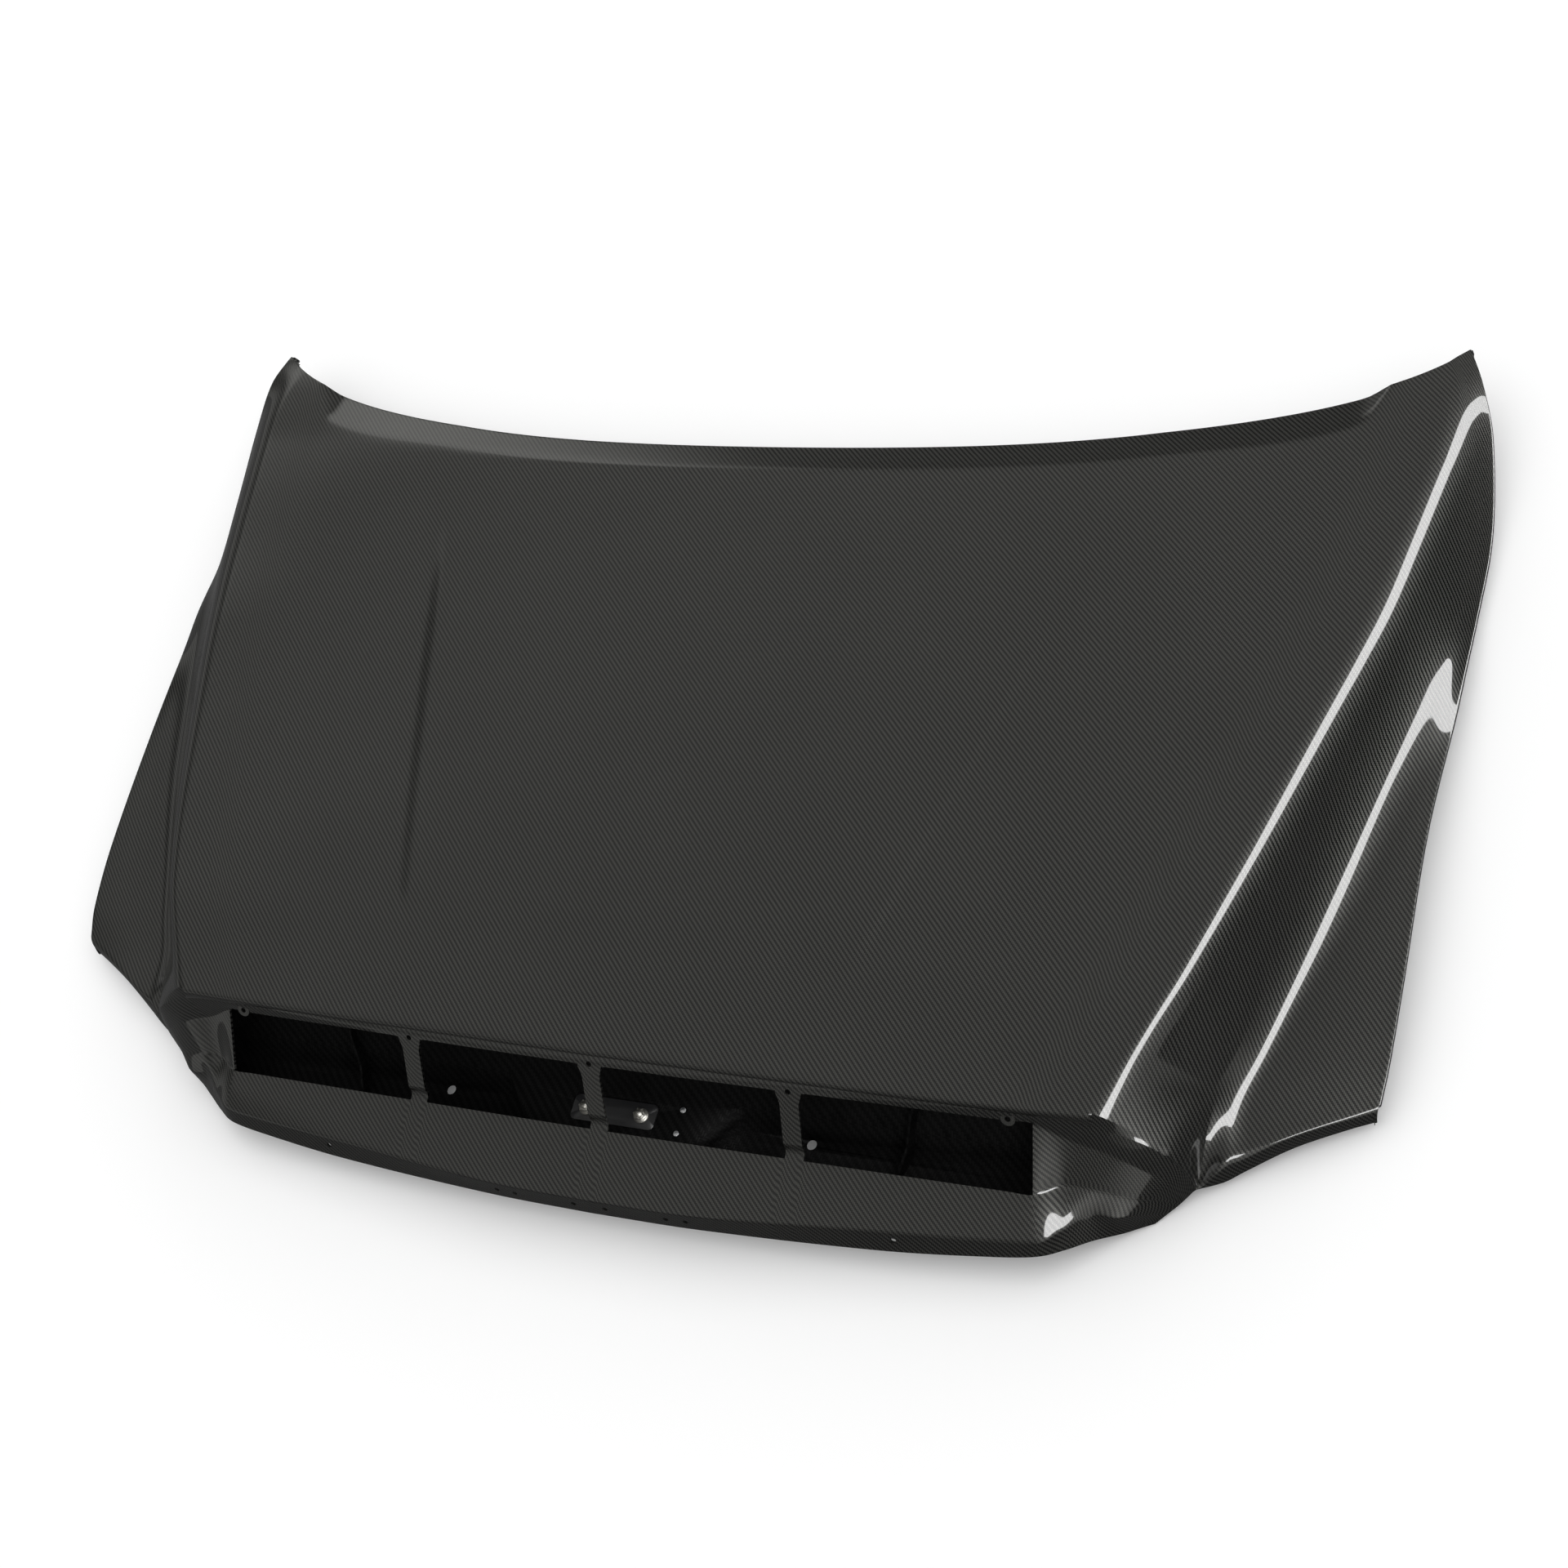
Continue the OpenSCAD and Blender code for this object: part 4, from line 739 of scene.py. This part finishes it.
# %% Ears and holes
def cylinder(place, turn, radius, depth):
    """A cylinder in the level bonnet's millimetres, laid down with it."""
    bpy.ops.mesh.primitive_cylinder_add(vertices=48, radius=radius / 1000, depth=depth / 1000)
    body = bpy.context.object
    level = Euler([math.radians(a) for a in turn]).to_matrix().to_4x4()
    body.matrix_world = (Matrix.Translation(laid(place)) @ Matrix.Rotation(-REST_TILT, 4, "X") @ level)
    bpy.ops.object.transform_apply(location=True, rotation=True, scale=True)
    body.data.uv_layers[0].name = "cloth"
    return body


def combine(shell, tool, operation):
    step = shell.modifiers.new(operation, "BOOLEAN")
    step.operation, step.object, step.solver = operation, tool, "MANIFOLD"
    bpy.context.view_layer.objects.active = shell
    bpy.ops.object.modifier_apply(modifier=step.name)
    bpy.data.objects.remove(tool)


HOLE_R, EAR_R, EAR_T, SCREW_LEAN = 3.25, 8, 2.4, 52
SCREWS = [(0, -20, -3), (239, -18.5, -6.5), (-239, -18.5, -6.5), (481, -13.5, -12), (-481, -13.5, -12)]
CLIPS = [(20, -155, -96, 78, 1), (96, -154.5, -96, 78, 5), (120, -154, -96, 78, 6),
         (359, -134, -98, 62, 6)]
for place in SCREWS[3:]:
    combine(nose, cylinder(place, (SCREW_LEAN, 0, 0), EAR_R, EAR_T), "UNION")
for place in SCREWS:
    combine(nose, cylinder(place, (SCREW_LEAN, 0, 0), HOLE_R, 24), "DIFFERENCE")
for x, y, z, lean, turn in CLIPS:
    for hand in (-1, 1):
        clip = cylinder((hand * x, y, z), (lean, 0, hand * turn), HOLE_R, 16)
        combine(nose, clip, "DIFFERENCE")
bpy.ops.object.select_all(action="DESELECT")
nose.select_set(True)
bpy.context.view_layer.objects.active = nose
bpy.ops.object.shade_smooth_by_angle(angle=math.radians(30))
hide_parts("nose_panel")
sheet_report(nose)

# %% [markdown]
# ## Finishes under the skin
# The frame and the inner nose are bagged laminate: a coarser twill than the skin's, dull and
# uncoated, with resin pooled in places. The plates carry black electrocoat with a fine grain and
# rubbed spots. The nuts, bolts, hook and striker are zinc plated, and the rivets are aluminium.

# %% Laminate and adhesive
INNER_TOW = 0.003
inner = Finish("inner_laminate")
over, height, fibre, cloth = twill(inner, INNER_TOW)
resin = inner.smooth_step(inner.noise(cloth, 40.0, 4.0), 0.4, 0.7)
# painted sheen and painted shade as on the skin: tows one way are painted lighter and tow edges darker; the
# fibre streaks are the cloth's own tone
tow_tone_and_painted_sheen = (over * 0.6 + 0.2 + fibre * 0.6) * (height * 0.5 + 0.5)
colour = inner.blend(tow_tone_and_painted_sheen, (0.0014, 0.0014, 0.0015, 1), (0.008, 0.008, 0.008, 1))
bump = inner.make("Bump", Strength=0.5, Distance=0.0003, Height=height + fibre * 0.3 + resin * 0.8)
inner_laminate = inner.surface(inner.make("BsdfPrincipled", Base_Color=colour, Normal=bump,
                                          Roughness=0.66 - resin * 0.2, Specular_IOR_Level=0.06))

glue = Finish("adhesive")
where = glue.make("TexCoord", output=3)
lumps = glue.noise(where, 160.0, 3.0)
dust = glue.noise(where, 900.0, 2.0)
bump = glue.make("Bump", Strength=0.6, Distance=0.0008, Height=lumps + dust * 0.15)
colour = glue.blend(lumps, (0.008, 0.008, 0.009, 1), (0.03, 0.03, 0.032, 1))
adhesive = glue.surface(glue.make("BsdfPrincipled", Base_Color=colour, Roughness=0.6 + dust * 0.3,
                                  Normal=bump, Specular_IOR_Level=0.25))


# %% Metals
def metal(name, low, high, grain_scale, roughness, spread, metallic, peel, stretch=(1, 1, 1)):
    """A metal or painted metal: blotches in colour and roughness, fine grain and a slight bump."""
    f = Finish(name)
    place = f.make("TexCoord", output=3)
    grain = f.noise(f.make("Mapping", Vector=place, Scale=stretch), grain_scale, 3.0, 0.6)
    blotch = f.noise(place, 45.0, 4.0)
    rubbed = f.smooth_step(f.noise(place, 210.0, 5.0, 0.7), 0.56, 0.72)
    colour = f.blend(blotch * 0.6 + grain * 0.4, low, high)
    bump = f.make("Bump", Strength=peel, Distance=0.0004, Height=grain)
    return f.surface(f.make("BsdfPrincipled", Base_Color=colour, Metallic=metallic, Normal=bump,
                            Roughness=roughness + (grain - 0.5) * spread + rubbed * spread * 0.6))


coated_steel = metal("coated_steel", (0.008, 0.008, 0.009, 1), (0.03, 0.03, 0.032, 1),
                     700.0, 0.42, 0.3, 0.0, 0.25)
zinc_steel = metal("zinc_steel", (0.2, 0.195, 0.18, 1), (0.42, 0.41, 0.38, 1),
                   900.0, 0.46, 0.3, 1.0, 0.2, (1, 1, 0.15))
rivet_metal = metal("rivet_metal", (0.55, 0.56, 0.58, 1), (0.72, 0.73, 0.75, 1),
                    1200.0, 0.36, 0.25, 1.0, 0.15)
spring_steel = metal("spring_steel", (0.14, 0.14, 0.15, 1), (0.34, 0.34, 0.35, 1),
                     1500.0, 0.3, 0.25, 1.0, 0.2, (0.2, 1, 1))
print("inner finishes:", [m.name for m in (inner_laminate, adhesive, coated_steel, zinc_steel)])

# %% [markdown]
# ## Pieces under the skin
# These keep the CAD shape, since they are pressed, moulded or turned parts without free curves.
# The CAD mesh is a heap of loose triangles, so a copy has its points merged, gets a cloth UV in
# metres by cube projection and is smoothed where it bends gently.

# %% Smooth copies
UNDER_SKIN = {
    "inner_laminate": (inner_laminate, [
        "seam_strip", "inner_frame_front", "inner_frame_rear", "frame_rail_left", "frame_rail_right",
        "frame_brace_left", "frame_brace_right", "inner_nose_panel", "nose_rib_left",
        "nose_rib_right"]),
    "coated_steel": (coated_steel, [
        "hinge_plate_left", "hinge_plate_right", "latch_plate", "striker_base", "catch_bracket"]),
    "zinc_steel": (zinc_steel, [
        "hinge_weld_nuts", "striker_loop", "striker_bolts", "striker_nuts", "catch_pin"]),
    "rivet_metal": (rivet_metal, ["hinge_rivets", "catch_rivets"])}


def smooth_copy(name, material, angle=34):
    piece = bpy.data.objects.new(name + "_skin", nodes[name].data.copy())
    piece.matrix_world = nodes[name].matrix_world
    bpy.context.scene.collection.objects.link(piece)
    bpy.ops.object.select_all(action="DESELECT")
    piece.select_set(True)
    bpy.context.view_layer.objects.active = piece
    bpy.ops.object.transform_apply(location=True, rotation=True, scale=True)
    bpy.ops.object.mode_set(mode="EDIT")
    bpy.ops.mesh.select_all(action="SELECT")
    bpy.ops.mesh.remove_doubles(threshold=1e-5)
    bpy.ops.mesh.normals_make_consistent(inside=False)
    bpy.ops.uv.cube_project(cube_size=1.0, correct_aspect=False)
    bpy.ops.object.mode_set(mode="OBJECT")
    piece.data.uv_layers[0].name = "cloth"
    bpy.ops.object.shade_smooth_by_angle(angle=math.radians(angle))
    piece.data.materials.clear()
    piece.data.materials.append(material)
    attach(piece, "bonnet")
    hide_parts(name)
    return piece


copies = [smooth_copy(name, material)
          for slot, (material, names) in UNDER_SKIN.items() for name in names]
print("smooth copies:", len(copies))

# %% [markdown]
# ## Finishes of the other CAD nodes
# The beads of adhesive, the catch hook and its spring stay as they are and only get a finish. So do
# the CAD skin and nose, although the smooth sheets are shown in their place.

# %% Assign finishes
for name, material in {"frame_bond_beads": adhesive, "nose_bond_bead": adhesive,
                       "catch_hook": zinc_steel, "catch_spring": spring_steel,
                       "outer_skin": carbon_skin, "nose_panel": carbon_nose}.items():
    nodes[name].data.materials.clear()
    nodes[name].data.materials.append(material)
